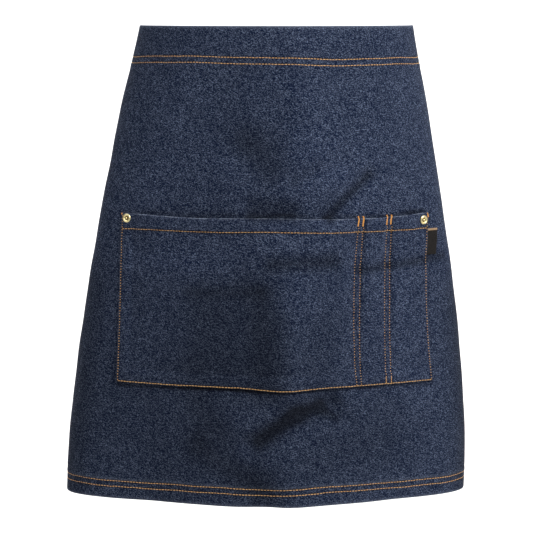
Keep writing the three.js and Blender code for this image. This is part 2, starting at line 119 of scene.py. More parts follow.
# Drops of the turned waist's and hem's inner edges, half the step between the grid lines there,
# and the ridge that the hem's inner edge presses out
BAND_END = BAND_DEPTH + 2.35
HEM_START = LENGTH - BOTTOM_HEM - 2.75
TURN_STEP = 0.15
HEM_RIDGE = LENGTH - BOTTOM_HEM - 2.4

# Share down, share of the widening, share of the drift to the left
SECTIONS = np.array([
    (0, 0, 0.08), (0.06, 0.1, 0.15), (0.16, 0.245, 0.25), (0.3, 0.36, 0.36),
    (0.45, 0.51, 0.46), (0.6, 0.71, 0.54), (0.75, 0.87, 0.69), (0.9, 0.985, 0.84),
    (1, 1, 0.98),
])
# Share across, turn of the cloth in degrees at the waist and at the hem
TURNS = np.array([
    (-1, -90, -98), (-0.94, -82, -80), (-0.86, -68, -47), (-0.75, -51, -26),
    (-0.5, -27, -19), (-0.22, -11, -17), (0, 0, 0), (0.22, 11, 17), (0.5, 27, 24),
    (0.75, 51, 33), (0.86, 68, 52), (0.94, 82, 82), (1, 90, 98),
])
# Start across and down, end across and down, spread and rise of each dent or ridge
FOLDS = np.array([
    (-0.17, 0.26, -0.02, 0.26, 0.044, -0.008), (0.17, 0.17, 0.23, 0.25, 0.056, 0.006),
    (0.08, 0.315, 0.34, 0.278, 0.02, -0.005), (0.24, 0.392, 0.46, 0.312, 0.02, -0.011),
    (-0.11, 0.375, 0.07, 0.38, 0.02, -0.008), (0, 0.485, 0.25, 0.482, 0.017, -0.004),
    (0.37, 0.5, 0.86, 0.48, 0.018, -0.002), (-0.16, 0.545, -0.14, 0.74, 0.056, -0.013),
    (0.055, 0.53, 0.05, 0.75, 0.042, 0.01), (-0.08, 0.872, 0.24, 0.785, 0.028, -0.015),
    (0.26, 0.79, 0.31, 0.82, 0.018, -0.006), (-0.24, 0.85, -0.01, 1, 0.036, -0.01),
    (0.06, 0.92, 0.09, 1.02, 0.05, 0.008), (0.1, 0.06, 0.09, 0.3, 0.06, 0.008),
    (-0.55, 0.8, -0.5, 1.02, 0.05, -0.005), (0.5, 0.82, 0.55, 1.02, 0.05, -0.005),
])
# Start across and down, end across and down, spread and share of each place of painted
# shade, in the creases and along the turned sides, or, with a share below 0, of painted light
PAINTED_SHADING = np.array([
    (0.25, 0.392, 0.47, 0.309, 0.0095, 0.85), (-0.117, 0.385, 0.069, 0.387, 0.015, 0.7),
    (-0.12, 0.242, -0.02, 0.29, 0.037, 0.56), (-0.013, 0.488, 0.267, 0.485, 0.019, 0.72),
    (0.39, 0.504, 0.86, 0.485, 0.01, 0.7), (-0.05, 0.55, -0.03, 0.75, 0.034, 0.4),
    (-0.25, 0.6, -0.19, 0.74, 0.078, 0.58), (-0.37, 0.548, -0.06, 0.543, 0.017, 0.34),
    (-0.048, 0.86, 0.1, 0.806, 0.021, 0.9), (0.1, 0.806, 0.2, 0.7915, 0.018, 0.7),
    (0.21, 0.7915, 0.27, 0.8123, 0.014, 0.55), (-0.29, 0.875, -0.05, 0.972, 0.038, 0.58),
    (0.05, 0.91, 0.42, 0.87, 0.1, 0.36), (0.21, 0.6, 0.17, 0.76, 0.055, 0.28),
    (-0.36, 0.72, -0.3, 0.83, 0.045, 0.26), (-0.22, 0.1, -0.2, 0.2, 0.04, 0.12),
    (-0.6, 0.1, -0.56, 0.36, 0.1, -0.18), (0.13, 0.25, 0.3, 0.3, 0.055, -0.2),
    (0.45, 0.24, 0.5, 0.36, 0.07, -0.08), (0.1, 0.57, 0.2, 0.58, 0.03, -0.14),
    (-0.66, 0.485, -0.22, 0.485, 0.028, -0.24), (0.54, 0.53, 0.6, 0.74, 0.06, -0.13),
    (-0.62, 0.8, -0.42, 0.97, 0.12, 0.3), (0.09, 0.32, 0.2, 0.29, 0.012, 0.25),
    (-0.86, 0.55, -0.88, 0.97, 0.045, 0.35), (0.93, 0.6, 0.93, 0.97, 0.055, 0.62),
    (0.03, 0.6, 0.04, 0.76, 0.024, 0.24),
])

# Sewn rows: drops below the top edge, heights above the hem, and the seams' places across
# the cloth at the pocket's top, middle and bottom
WAIST_ROWS = (33.2, 39.6)
HEM_ROWS = (18.6, 12.6)
PANEL_ROWS = WAIST_ROWS + tuple(LENGTH - row for row in HEM_ROWS)
POCKET_ROW = 16.4
SEAMS = ((90.2, 84.8, 90.3), (95.2, 91.4, 95.4), (122.4, 119.9, 124.6), (127.6, 125.9, 130.3))

# How sewn lines wander up (negative) or down on the worn cloth: place across and drop, for a
# line at a drop of the cloth and the reach of its pull above and below
WANDERS = (
    (36.4, 17, (
        (-190, 0), (-177, 0.2), (-114, -2.4), (-73, -2), (-35, -0.6), (2, -1), (39, 0), (77, 1.3),
        (120, 0.5), (190, 0))),
    (484.4, 9, (
        (-240, -1.4), (-233, -1.4), (-197, -0.3), (-154, 0), (-100, -1.3), (-59, -1.1),
        (-21, 0.3), (5, -0.2), (42, -1.8), (83, -1.3), (125, -0.2), (168, -0.5), (199, -0.1),
        (240, 0))),
    (POCKET_TOP, 8, (
        (-190, 0), (-152, -0.6), (-85, 1), (-15, 0), (30, 1), (67, 2.4), (117, 2.3), (159, 0.3),
        (190, 0))),
    (POCKET_TOP + POCKET_ROW, 8, (
        (-190, -0.4), (-164, -0.4), (-128, -1.2), (-88, -1.4), (-48, -1.2), (-11, -2.2),
        (25, -1.7), (63, 0), (104, 0.4), (146, -0.3), (190, -0.6))),
    (POCKET_BOTTOM, 9, (
        (-180, 0), (-115, -0.4), (-75, -1.2), (-24, -0.3), (14, 0.7), (52, -0.4), (91, -0.7),
        (133, -0.3), (180, 0.6))),
)


def through(table, column, x):
    """A smooth curve through a table's rows: each stretch is the cubic that meets its two rows
    with the slope of the line between their neighbours."""
    places, values = table[:, 0], table[:, column]
    slopes = np.gradient(values, places)
    slopes[1:-1] = (values[2:] - values[:-2]) / (places[2:] - places[:-2])
    i = np.clip(np.searchsorted(places, x, side="right") - 1, 0, len(places) - 2)
    span = places[i + 1] - places[i]
    t = (x - places[i]) / span
    return ((2 * t**3 - 3 * t**2 + 1) * values[i] + (t**3 - 2 * t**2 + t) * span * slopes[i]
            + (3 * t**2 - 2 * t**3) * values[i + 1] + (t**3 - t**2) * span * slopes[i + 1])


def eased(x, low, high):
    """0 below low, 1 above high, and 3t squared less 2t cubed between them."""
    t = np.clip((x - low) / (high - low), 0, 1)
    return t * t * (3 - 2 * t)


def bump(x, width):
    """A bell of height 1: e to the power of minus the square of x over width."""
    return np.exp(-(x / width) ** 2)


def half_arc(down):
    """Half the cloth's width at a drop: from the waist's to the hem's by the share widened."""
    return (WAIST_ARC + (HEM_ARC - WAIST_ARC) * through(SECTIONS, 1, down / LENGTH)) / 2


def wander(s, down):
    """How far a line of the cloth has slipped up or down: for each sewn line, its own smooth
    table across the cloth times a bell of the distance to it."""
    slip = 0.0
    for place, reach, table in WANDERS:
        table = np.array(table, float)
        held = np.clip(s, table[0, 0], table[-1, 0])
        slip = slip + through(table, 1, held) * bump(down - place, reach)
    return slip


FORM_ROWS, FORM_STEPS = 501, 240


def worn_form():
    """Level sections of the worn cloth, one a millimetre. Each section's turn is a blend of
    the waist's and the hem's, its line is the turn added up along the cloth, and it is set so
    that its widest points lie evenly about the drifting middle."""
    down = np.linspace(0, LENGTH, FORM_ROWS)
    across = np.linspace(-1, 1, FORM_STEPS + 1)
    waist, hem = through(TURNS, 1, across), through(TURNS, 2, across)
    fade = eased(down / LENGTH, 0, TURN_FADE)[:, None]
    turn = np.radians(waist + (hem - waist) * fade)
    step = (2 * half_arc(down) / FORM_STEPS)[:, None]
    x, y = np.zeros_like(turn), np.zeros_like(turn)
    x[:, 1:] = np.cumsum(step * (np.cos(turn[:, 1:]) + np.cos(turn[:, :-1])) / 2, axis=1)
    y[:, 1:] = np.cumsum(step * (np.sin(turn[:, 1:]) + np.sin(turn[:, :-1])) / 2, axis=1)
    drift = HEM_DRIFT * through(SECTIONS, 2, down / LENGTH)
    x -= ((x.max(1) + x.min(1)) / 2 + drift)[:, None]
    y -= (y[:, FORM_STEPS // 2] + WAIST_FRONT + (HEM_FRONT - WAIST_FRONT) * down / LENGTH)[:, None]
    return x, y, turn


FORM = worn_form()


def along_lines(table, s, down):
    """For each line of a table, its last value times a bell of the distance to it, added up."""
    total = 0.0
    half = half_arc(down)
    for ax, ay, bx, by, spread, value in table:
        px, py = (s - ax * half) / LENGTH, down / LENGTH - ay
        dx, dy = (bx - ax) * half / LENGTH, by - ay
        t = np.clip((px * dx + py * dy) / (dx * dx + dy * dy), 0, 1)
        total = total + value * bump(np.hypot(px - t * dx, py - t * dy), spread)
    return total


def on_cloth(s, down, out):
    """Place of points on the worn cloth: the level section at their drop with its line's
    wander, moved out along its level normal by out and the fold's rise. Past an edge it goes
    on straight."""
    s, down, out = np.broadcast_arrays(*[np.asarray(v, float) for v in (s, down, out)])
    down = down + wander(s, down)
    half = half_arc(down)
    row = np.clip(down, 0, LENGTH) / LENGTH * (FORM_ROWS - 1)
    column = np.clip((s / half + 1) / 2, 0, 1) * FORM_STEPS
    i = np.minimum(row.astype(int), FORM_ROWS - 2)
    j = np.minimum(column.astype(int), FORM_STEPS - 1)
    a, b = row - i, column - j

    def read(grid):
        return ((grid[i, j] * (1 - b) + grid[i, j + 1] * b) * (1 - a)
                + (grid[i + 1, j] * (1 - b) + grid[i + 1, j + 1] * b) * a)

    x, y, turn = (read(grid) for grid in FORM)
    past = s - np.clip(s, -half, half)
    reach = out + LENGTH * along_lines(FOLDS, s, down)
    return np.stack([
        x + np.cos(turn) * past + np.sin(turn) * reach,
        y + np.sin(turn) * past - np.cos(turn) * reach,
        BAND_DEPTH / 2 - down,
    ], axis=-1)


def pocket_span(down):
    """The pocket's half width and its middle line, which outside its height go on with the
    cloth's growth. Its right edge bows inward by a parabola at half height."""
    inside = np.clip(down, POCKET_TOP, POCKET_BOTTOM)
    share = (inside - POCKET_TOP) / POCKET_HEIGHT
    scale = half_arc(down) / half_arc(inside)
    bow = POCKET_BOW * 4 * share * (1 - share)
    width = POCKET_TOP_WIDTH + (POCKET_BOTTOM_WIDTH - POCKET_TOP_WIDTH) * share - bow
    shift = POCKET_TOP_SHIFT + (POCKET_BOTTOM_SHIFT - POCKET_TOP_SHIFT) * share - bow / 2
    return width / 2 * scale, shift * scale


def corner_lift(s, down):
    """How far the pocket's lower corners are raised: by the square of the share aside, coming
    in down the pocket and going out down to the hem."""
    half, middle = pocket_span(down)
    above = eased(down, POCKET_TOP, POCKET_BOTTOM)
    below = 1 - eased(down, POCKET_BOTTOM, LENGTH - BOTTOM_HEM)
    aside = np.minimum(((s - middle) / half) ** 2, 1)
    return POCKET_CORNER_LIFT * np.minimum(above, below) * aside


def lifted(s, down):
    """Drops with the pocket's lower corners raised."""
    return down - corner_lift(s, down)


def seam_line(seam, down):
    """A seam's place across the cloth: the parabola through its three measured places."""
    t = (np.asarray(down, float) - POCKET_TOP) / POCKET_HEIGHT
    top, middle, bottom = seam
    return top * (1 - t) * (1 - 2 * t) + 4 * middle * t * (1 - t) + bottom * t * (2 * t - 1)


def pocket_lift(s, down):
    """How far the pocket stands off the panel: nothing at its sewn edges and seams, and in
    each room the gape times (1 - t to the 4th) across and (1 - depth cubed) down."""
    half, middle = pocket_span(down)
    left, right = middle - half + POCKET_TURN, middle + half - POCKET_TURN
    seams = [seam_line(seam, down) for seam in SEAMS]
    deep = np.clip((down - POCKET_TOP) / (POCKET_HEIGHT - POCKET_TURN), 0, 1)
    lift = np.zeros(np.broadcast(s, down).shape)
    rooms = ((left, seams[0]), (seams[1], seams[2]), (seams[3], right))
    for (start, end), gape in zip(rooms, (POCKET_GAPE, SLOT_GAPE, SLOT_GAPE)):
        t = np.clip(2 * (s - start) / (end - start) - 1, -1, 1)
        lift = lift + (CLOTH + gape) * (1 - t**4) * (1 - deep**3)
    return lift


# --- Making meshes ---

def make_piece(name, points, faces, finishes, face_finish=None, uv=None, values=(),
               replaces=()):
    """A mesh from points in millimetres and faces of four or three corners, with its own UV
    places and named values, riding on the apron."""
    mesh = bpy.data.meshes.new(name)
    faces = [np.asarray(f, np.int32) for f in faces if len(f)]
    corners = np.concatenate([f.ravel() for f in faces])
    sizes = np.concatenate([np.full(len(f), f.shape[1], np.int32) for f in faces])
    starts = np.concatenate([[0], np.cumsum(sizes)[:-1]]).astype(np.int32)
    mesh.vertices.add(len(points))
    mesh.vertices.foreach_set("co", (np.asarray(points, float) * MM).ravel())
    mesh.loops.add(len(corners))
    mesh.loops.foreach_set("vertex_index", corners)
    mesh.polygons.add(len(sizes))
    mesh.polygons.foreach_set("loop_start", starts)
    mesh.polygons.foreach_set("loop_total", sizes)
    if face_finish is not None:
        mesh.polygons.foreach_set("material_index", np.asarray(face_finish, np.int32))
    mesh.update(calc_edges=True)
    mesh.polygons.foreach_set("use_smooth", np.full(len(sizes), True))
    if uv is not None:
        layer = mesh.uv_layers.new(name="on_cloth")
        layer.data.foreach_set("uv", (np.asarray(uv, float) * MM)[corners].ravel())
    for title, data in values:
        layer = mesh.attributes.new(title, "FLOAT", "POINT")
        layer.data.foreach_set("value", np.asarray(data, float))
    for finish in finishes:
        mesh.materials.append(finish)
    mesh.validate()
    piece = in_scene(name, mesh)
    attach(piece, "root")
    if replaces:
        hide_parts(*replaces)
    return piece


def grid_faces(rows, columns, start=0, around=False):
    """Four-cornered faces of a grid of points, closed round its columns where asked."""
    i = np.arange(rows - 1)[:, None]
    j = np.arange(columns if around else columns - 1)[None, :]
    k = (j + 1) % columns
    at = lambda r, c: (start + r * columns + c + 0 * i * j).ravel()
    return np.stack([at(i, j), at(i + 1, j), at(i + 1, k), at(i, k)], axis=1)


def shell_piece(name, outer, inner, places, finishes, values, replaces, single=None):
    """A closed shell of two grids whose borders meet: the inner grid's border is the outer's,
    so its edge is sealed, and its faces are turned outward. places are the grids of its UV
    places. A value is one grid for both faces, or a pair of an outer and an inner shade, held
    from -0.4, where paler, to 1. The inner face's cells take their finishes from single."""
    rows, columns = outer.shape[:2]
    kept = np.zeros((rows, columns), bool)
    kept[1:-1, 1:-1] = True
    below = np.arange(rows * columns)
    below[kept.ravel()] = rows * columns + np.arange(kept.sum())
    front = grid_faces(rows, columns)
    faces = [front, below[front][:, ::-1]]
    i, j = rows // 2, columns // 2
    facing = np.cross(outer[i + 1, j] - outer[i, j], outer[i, j + 1] - outer[i, j])
    if np.dot(facing, outer[i, j] - inner[i, j]) < 0:
        faces = [f[:, ::-1] for f in faces]

    def listed(grid):
        if isinstance(grid, tuple):
            return np.clip(np.concatenate([grid[0].ravel(), grid[1][kept]]), -0.4, 1)
        return np.concatenate([grid.ravel(), grid[kept]])

    if single is not None:
        single = np.concatenate([np.zeros(len(front), int), single.ravel()])
    return make_piece(
        name, np.concatenate([outer.reshape(-1, 3), inner[kept]]), faces, finishes,
        face_finish=single, uv=np.stack([listed(grid) for grid in places], axis=1),
        values=[(title, listed(grid)) for title, grid in values], replaces=replaces)


def rounded(distance, radius):
    """Share of a doubled edge's half thickness at a distance from its fold: the height of a
    quarter circle, 0 at the fold and 1 from the radius on."""
    t = np.clip(distance / radius, 0, 1)
    return np.sqrt(np.clip(1 - (1 - t) ** 2, 0, 1))


def lines_between(marks, cell):
    """Grid lines from mark to mark, with steps of about the cell between them."""
    stretches = [np.linspace(a, b, max(1, round((b - a) / cell)) + 1)[:-1]
                 for a, b in zip(marks, marks[1:])]
    return np.concatenate(stretches + [marks[-1:]])


def fold_marks(radius):
    """Distances from a fold that part its quarter circle evenly."""
    return radius * (1 - np.cos(np.linspace(0, np.pi / 2, 5)))


def row_marks(place):
    """Grid lines close about a sewn row."""
    return place + np.array([-1.8, -1.0, -0.4, 0.4, 1.0, 1.8])


def ripple(s, down, seed, sizes, height):
    """Slow waves of the cloth: a sum of sines along seeded directions and wavelengths."""
    maker = np.random.default_rng(seed)
    total = 0.0
    for size in sizes:
        angle, phase = maker.uniform(0, np.pi), maker.uniform(0, 2 * np.pi)
        way = s * np.cos(angle) + down * np.sin(angle)
        total = total + np.sin(2 * np.pi * way / size + phase)
    return height * total / len(sizes)


def soft_waves(s, down):
    """The cloth's own slight unevenness, stilled towards its top edge."""
    calm = eased(down, 5, 60)
    return calm * ripple(s, down, 3, (46, 58, 71, 83, 37, 64), 0.55)


# --- Materials ---

class Signal:
    """A value inside a finish. Sums and products of signals add the Math nodes for them."""

    def __init__(self, finish, socket):
        self.finish = finish
        self.socket = socket

    def _math(self, operation, *operands):
        return self.finish.read("ShaderNodeMath", 0, {"operation": operation},
                                dict(enumerate(operands)))

    def __add__(self, other):
        return self._math("ADD", self, other)

    def __radd__(self, other):
        return self._math("ADD", other, self)

    def __sub__(self, other):
        return self._math("SUBTRACT", self, other)

    def __rsub__(self, other):
        return self._math("SUBTRACT", other, self)

    def __mul__(self, other):
        return self._math("MULTIPLY", self, other)

    def sine(self):
        return self._math("SINE", self)

    def held(self, low=0.0, high=1.0):
        return self._math("MINIMUM", self._math("MAXIMUM", self, low), high)


class Finish:
    """A material: one shader, and the nodes that feed it."""

    def __init__(self, name, roughness, **fixed):
        self.material = bpy.data.materials.new(name)
        self.material.use_nodes = True
        self.tree = self.material.node_tree
        self.shader = self.tree.nodes["Principled BSDF"]
        self.shader.inputs["Roughness"].default_value = roughness
        for socket, value in fixed.items():
            self.shader.inputs[socket.replace("_", " ")].default_value = value

    def node(self, kind, settings=None, inputs=None):
        node = self.tree.nodes.new(kind)
        for key, value in (settings or {}).items():
            setattr(node, key, value)
        for key, value in (inputs or {}).items():
            if isinstance(value, Signal):
                self.tree.links.new(value.socket, node.inputs[key])
            else:
                node.inputs[key].default_value = value
        return node

    def read(self, kind, output, settings=None, inputs=None):
        return Signal(self, self.node(kind, settings, inputs).outputs[output])

    def on_cloth(self):
        return self.read("ShaderNodeUVMap", "UV", {"uv_map": "on_cloth"})

    def placed(self, vector, scale=(1, 1, 1), turn=0.0):
        return self.read("ShaderNodeMapping", "Vector", {"vector_type": "POINT"}, {
            "Vector": vector, "Scale": scale, "Rotation": (0, 0, turn)})

    def noise(self, vector, scale, detail=2.0, roughness=0.5):
        return self.read("ShaderNodeTexNoise", 0, {"noise_dimensions": "2D"}, {
            "Vector": vector, "Scale": scale, "Detail": detail, "Roughness": roughness})

    def value(self, title):
        return self.read("ShaderNodeAttribute", "Fac", {"attribute_name": title})

    def parts(self, vector):
        node = self.node("ShaderNodeSeparateXYZ", None, {0: vector})
        return Signal(self, node.outputs[0]), Signal(self, node.outputs[1])

    def mixed(self, share, first, second):
        return self.read("ShaderNodeMix", 2, {"data_type": "RGBA"},
                         {0: share, 6: first, 7: second})

    def scaled(self, colour, share):
        return self.read("ShaderNodeVectorMath", 0, {"operation": "SCALE"},
                         {0: colour, "Scale": share})

    def wear(self, colour, height, depth, roughness=None):
        relief = self.read("ShaderNodeBump", 0, None, {
            "Height": height, "Distance": depth * MM, "Strength": 1.0})
        fed = {"Base Color": colour, "Normal": relief, "Roughness": roughness}
        for socket, signal in fed.items():
            if signal is not None:
                self.tree.links.new(signal.socket, self.shader.inputs[socket])
        return self.material


def yarn_lines(finish, place, pitch, slope):
    """Diagonal lines of a twill: the sine of the distance across them."""
    across, along = finish.parts(place)
    return ((across + along * slope) * (2 * np.pi / (pitch * MM))).sine()


def denim_finish(name, dark, light, worn, fleck, twill, side=1):
    """Twill of dark warp and pale weft: diagonal lines, short pale flecks along them, slubs
    down the warp, slow patches of tone, pale worn places that also carry some painted highlight,
    and painted shade, both read from the mesh."""
    finish = Finish(name, 0.9, Specular_IOR_Level=0.1, Sheen_Weight=0.02, Sheen_Roughness=0.5)
    place = finish.on_cloth()
    lines = yarn_lines(finish, place, 0.92, 0.55 * side)
    leaning = finish.placed(finish.placed(place, turn=-0.4 * side), (0.72, 1.42, 1))
    flecks = finish.noise(leaning, 820, 1.0, 0.55)
    grain = finish.noise(place, 1300, 1.0, 0.5)
    cells = finish.read("ShaderNodeTexVoronoi", "Color", {"voronoi_dimensions": "2D"},
                        {"Vector": leaning, "Scale": 1250.0})
    knots, _ = finish.parts(cells)
    slubs = finish.noise(finish.placed(place, (1, 0.05, 1)), 620, 2.0, 0.55)
    patches = finish.noise(place, 26, 2.0, 0.5)
    broad = finish.noise(place, 110, 2.0, 0.6)
    pale = ((flecks - 0.5) * (fleck * 0.35) + (grain - 0.5) * (fleck * 0.5)
            + (knots - 0.5) * (fleck * 0.36) + (slubs - 0.5) * 0.12 + (broad - 0.5) * 0.6
            + (patches - 0.5) * 0.25 + lines * twill + 0.53)
    pale = pale.held(0, 2.2)
    cloth = finish.mixed((pale * (pale * 0.225 + 0.045)).held(), dark, light)
    # The worn value pales the cloth: wear on folded edges, and painted highlight on the pocket's
    # top edge and the knot's pleats
    rubbed = (finish.value("worn") * (flecks * 1.6 + 0.1)).held()
    cloth = finish.mixed(rubbed, cloth, worn)
    # The shaded value is painted shade and, below 0, painted light: it darkens the cloth by up to
    # three quarters
    shade = 1 - finish.value("shaded") * 0.75
    height = lines * 0.35 + (flecks - 0.5) * 1.2 + (slubs - 0.5) * 0.5
    return finish.wear(finish.scaled(cloth, shade), height, 0.16)


def thread_finish(name, core, bright):
    """Twisted sewing thread: slanting plies along it, a little fuzz and slow changes of dye."""
    finish = Finish(name, 0.55, Specular_IOR_Level=0.35, Sheen_Weight=0.1)
    place = finish.on_cloth()
    plies = yarn_lines(finish, place, 0.6, 0.9)
    dye = finish.noise(place, 260, 2.0, 0.6)
    share = ((dye - 0.5) * 2.2 + plies * 0.18 + 0.5).held()
    return finish.wear(finish.mixed(share, core, bright), plies, 0.06)


def brass_finish(name, bright, dull):
    """Polished brass with uneven tarnish, most in its low places."""
    finish = Finish(name, 0.4, Metallic=1.0)
    place = finish.read("ShaderNodeTexCoord", "Object")
    tarnish = finish.read("ShaderNodeTexNoise", 0, {"noise_dimensions": "3D"},
                          {"Vector": place, "Scale": 420.0, "Detail": 3.0})
    share = ((tarnish - 0.5) * 0.5 + finish.value("recessed")).held()
    return finish.wear(finish.mixed(share, bright, dull), tarnish, 0.03, 0.36 + share * 0.2)


def tape_finish(name, ground, edge):
    """Dense woven tape: fine crossed ribs, with a border stripe read from the mesh."""
    finish = Finish(name, 0.75, Specular_IOR_Level=0.2, Sheen_Weight=0.02)
    place = finish.on_cloth()
    across, along = finish.parts(place)
    ribs = (across * (2 * np.pi / (0.5 * MM))).sine() * (along * (2 * np.pi / (0.42 * MM))).sine()
    shade = finish.noise(place, 300, 2.0, 0.6) * 0.7 + 0.65 + ribs * 0.16
    colour = finish.mixed(finish.value("striped"), ground, edge)
    return finish.wear(finish.scaled(colour, shade), ribs, 0.08)


DENIM = denim_finish("denim", (0.0006, 0.0042, 0.021, 1), (0.136, 0.17, 0.25, 1),
                     (0.15, 0.175, 0.23, 1), 5.5, 0.14)
DENIM_BACK = denim_finish("denim_back", (0.07, 0.085, 0.112, 1), (0.5, 0.53, 0.57, 1),
                          (0.36, 0.37, 0.39, 1), 1.6, 0.25, -1)
TIE_DENIM = denim_finish("tie_denim", (0.0012, 0.004, 0.0145, 1), (0.134, 0.178, 0.275, 1),
                         (0.145, 0.17, 0.22, 1), 4.2, 0.12)
THREAD = thread_finish("tan_thread", (0.4, 0.2, 0.062, 1), (0.72, 0.42, 0.16, 1))
TACK_THREAD = thread_finish("orange_thread", (0.62, 0.25, 0.03, 1), (0.86, 0.42, 0.08, 1))
BRASS = brass_finish("rivet_brass", (0.98, 0.84, 0.46, 1), (0.1, 0.058, 0.012, 1))
TAPE = tape_finish("label_tape", (0.0085, 0.0068, 0.0062, 1), (0.33, 0.215, 0.12, 1))

# --- Panel: one flared cloth with its edges turned to the inside ---

def from_side(s, down):
    """Distance of a place on the panel from its nearer side edge."""
    return half_arc(down) - np.abs(s)


def edge_distance(s, down):
    """Distance of a place on the panel from its nearest edge."""
    return np.minimum(from_side(s, down), np.minimum(down, LENGTH - down))


def row_groove(down, s):
    """Nearness to the panel's sewn rows, 1 on a row and 0 two millimetres off."""
    near = sum(bump(down - row, 0.9) for row in PANEL_ROWS)
    return np.clip(near + bump(from_side(s, down) - SIDE_ROW, 0.9), 0, 1)


def panel_relief(s, down):
    """The outer face's own relief: slow waves, the grooves of the sewn rows, the slight ridge
    that each turned hem's inner edge presses out, and the hem's pull between its rows."""
    side = from_side(s, down)
    groove = 0.3 * row_groove(down, s)
    ridge = 0.38 * bump(side - SIDE_HEM, 1.8) * eased(down, 40, 60) * (1 - eased(down, 470, 482))
    ridge = ridge + 0.3 * bump(down - BAND_DEPTH - 1.5, 1.6) + 0.35 * bump(down - HEM_RIDGE, 1.6)
    pull = np.sin(2 * np.pi * (s + 0.9 * down) / 9.3 + 1.4 * np.sin(s / 31))
    roping = 0.14 * pull * (bump(down - (LENGTH - 9), 6) + 0.7 * bump(down - 36, 9))
    return soft_waves(s, down) - groove + ridge + roping


def panel():
    """Outer and inner faces over one grid. The outer face is the worn form with its relief,
    the inner lies a cloth behind it, or three where an edge is turned in, and both close on
    a quarter circle at the folded edges."""
    radius = -HEM_INNER / 2
    edge = np.concatenate([
        fold_marks(radius), [3.4, 5.4, 6.2, 6.8, 7.6, 8.2, 9.0, 9.8, 10.1, 11.4, 13.0]])
    share = np.linspace(0, 1, 172)[1:-1]
    turns = np.array([-TURN_STEP, TURN_STEP])
    rows = np.concatenate([
        fold_marks(radius), [4], *[row_marks(row) for row in PANEL_ROWS],
        BAND_END + turns, HEM_START + turns, LENGTH - fold_marks(radius),
    ])
    rows = lines_between(np.unique(np.round(rows, 3)), 2.6)
    down = rows[:, None]
    half = half_arc(down)
    inset = edge[-1]
    middle = -half + inset + 2 * (half - inset) * share[None, :]
    s = np.concatenate([-half + edge[None, :], middle, (half - edge[None, :])[:, ::-1]], axis=1)
    down = np.repeat(down, s.shape[1], axis=1)
    side = from_side(s, down)
    hemmed = (side < SIDE_HEM) | (down < BAND_END) | (down > HEM_START)
    close = rounded(edge_distance(s, down), radius)
    relief = panel_relief(s, down)
    outer = on_cloth(s, down, (relief + radius) * close - radius)
    depth = np.where(hemmed, -radius - radius * close, -CLOTH)
    inner = on_cloth(s, down, depth + relief * close)
    patchy = 0.6 + ripple(s, down, 21, (9, 14, 23, 6), 0.8)
    # Paler along the side hems' inner ridges, in patches, and along the bottom hem's ridge
    hem_ridge_paling = 0.6 * bump(side - SIDE_HEM + 1.5, 2.0) * eased(down, 60, 150) * patchy
    worn = 0.75 * bump(edge_distance(s, down), 1.3) + hem_ridge_paling + 0.2 * bump(down - HEM_RIDGE, 1.5)
    # Painted shade along the sewn rows, on both faces
    shaded = row_groove(down, s) * 0.85
    # Outside, the painted shade of the rows, the painted shadow round the pocket, and the table's
    # painted shade and light
    outside = shaded + pocket_shadow(s, down) + along_lines(PAINTED_SHADING, s, down)
    cell = np.ones((s.shape[0] - 1, s.shape[1] - 1), int)
    cell[hemmed[:-1, :-1] & hemmed[1:, 1:] & hemmed[:-1, 1:] & hemmed[1:, :-1]] = 0
    piece = shell_piece(
        "panel_cloth", outer, inner, (s, down), [DENIM, DENIM_BACK],
        (("worn", worn), ("shaded", (outside, shaded))),
        ("front_panel", "waistband", "bottom_hem", "side_hem_left", "side_hem_right"), cell)
    return piece


def pocket_shadow(s, down):
    """Painted shadow on the panel close under the pocket's lower edge, beside it and above its
    mouth.
    """
    half, middle = pocket_span(down)
    beside = np.abs(s - middle) - half
    inside = (down > POCKET_TOP) & (down < POCKET_BOTTOM)
    below = bump(down - POCKET_BOTTOM - 0.6, 1.6) * (beside < 0)
    reach = 1.4 + 1.2 * bump(s - 155, 10)
    above = bump(down - POCKET_TOP + 1.1 + 0.4 * np.sin(s / 11), reach) * (beside < -3)
    above = above * (0.65 + 0.35 * eased(s, 55, 90))
    return 0.55 * below + 0.35 * bump(beside - 0.6, 2.2) * inside + 1.0 * above


# --- Pocket ---

def pocket_out(s, down):
    """Height of the pocket's outer face: its seat, its stand-off and its wall, doubled along
    its turned edges and its top hem, with the grooves of its sewn rows and its own waves."""
    half, middle = pocket_span(down)
    side = half - np.abs(s - middle)
    top, bottom = down - POCKET_TOP, POCKET_BOTTOM - down
    single = eased(np.minimum(side, bottom), POCKET_TURN - 1.5, POCKET_TURN + 1.5)
    single = single * eased(top, POCKET_HEM + 0.6, POCKET_HEM + 3)
    wall = CLOTH * (2 - single)
    groove = (bump(top - POCKET_ROW, 0.9) + bump(side - POCKET_SIDE_ROW, 0.8)
              + bump(bottom - POCKET_LOW_ROW, 0.8))
    for seam in SEAMS:
        groove = groove + bump(s - seam_line(seam, down), 0.9)
    calm = np.clip(1 - groove, 0, 1)
    waves = ripple(s, down, 5, (52, 68, 41, 88, 33), 0.5)
    waves = waves * eased(side, 2, 14) * eased(bottom, 2, 14) * calm * eased(top, -8, 10)
    return GAP + pocket_lift(s, down) + wall - 0.28 * np.clip(groove, 0, 1) + waves


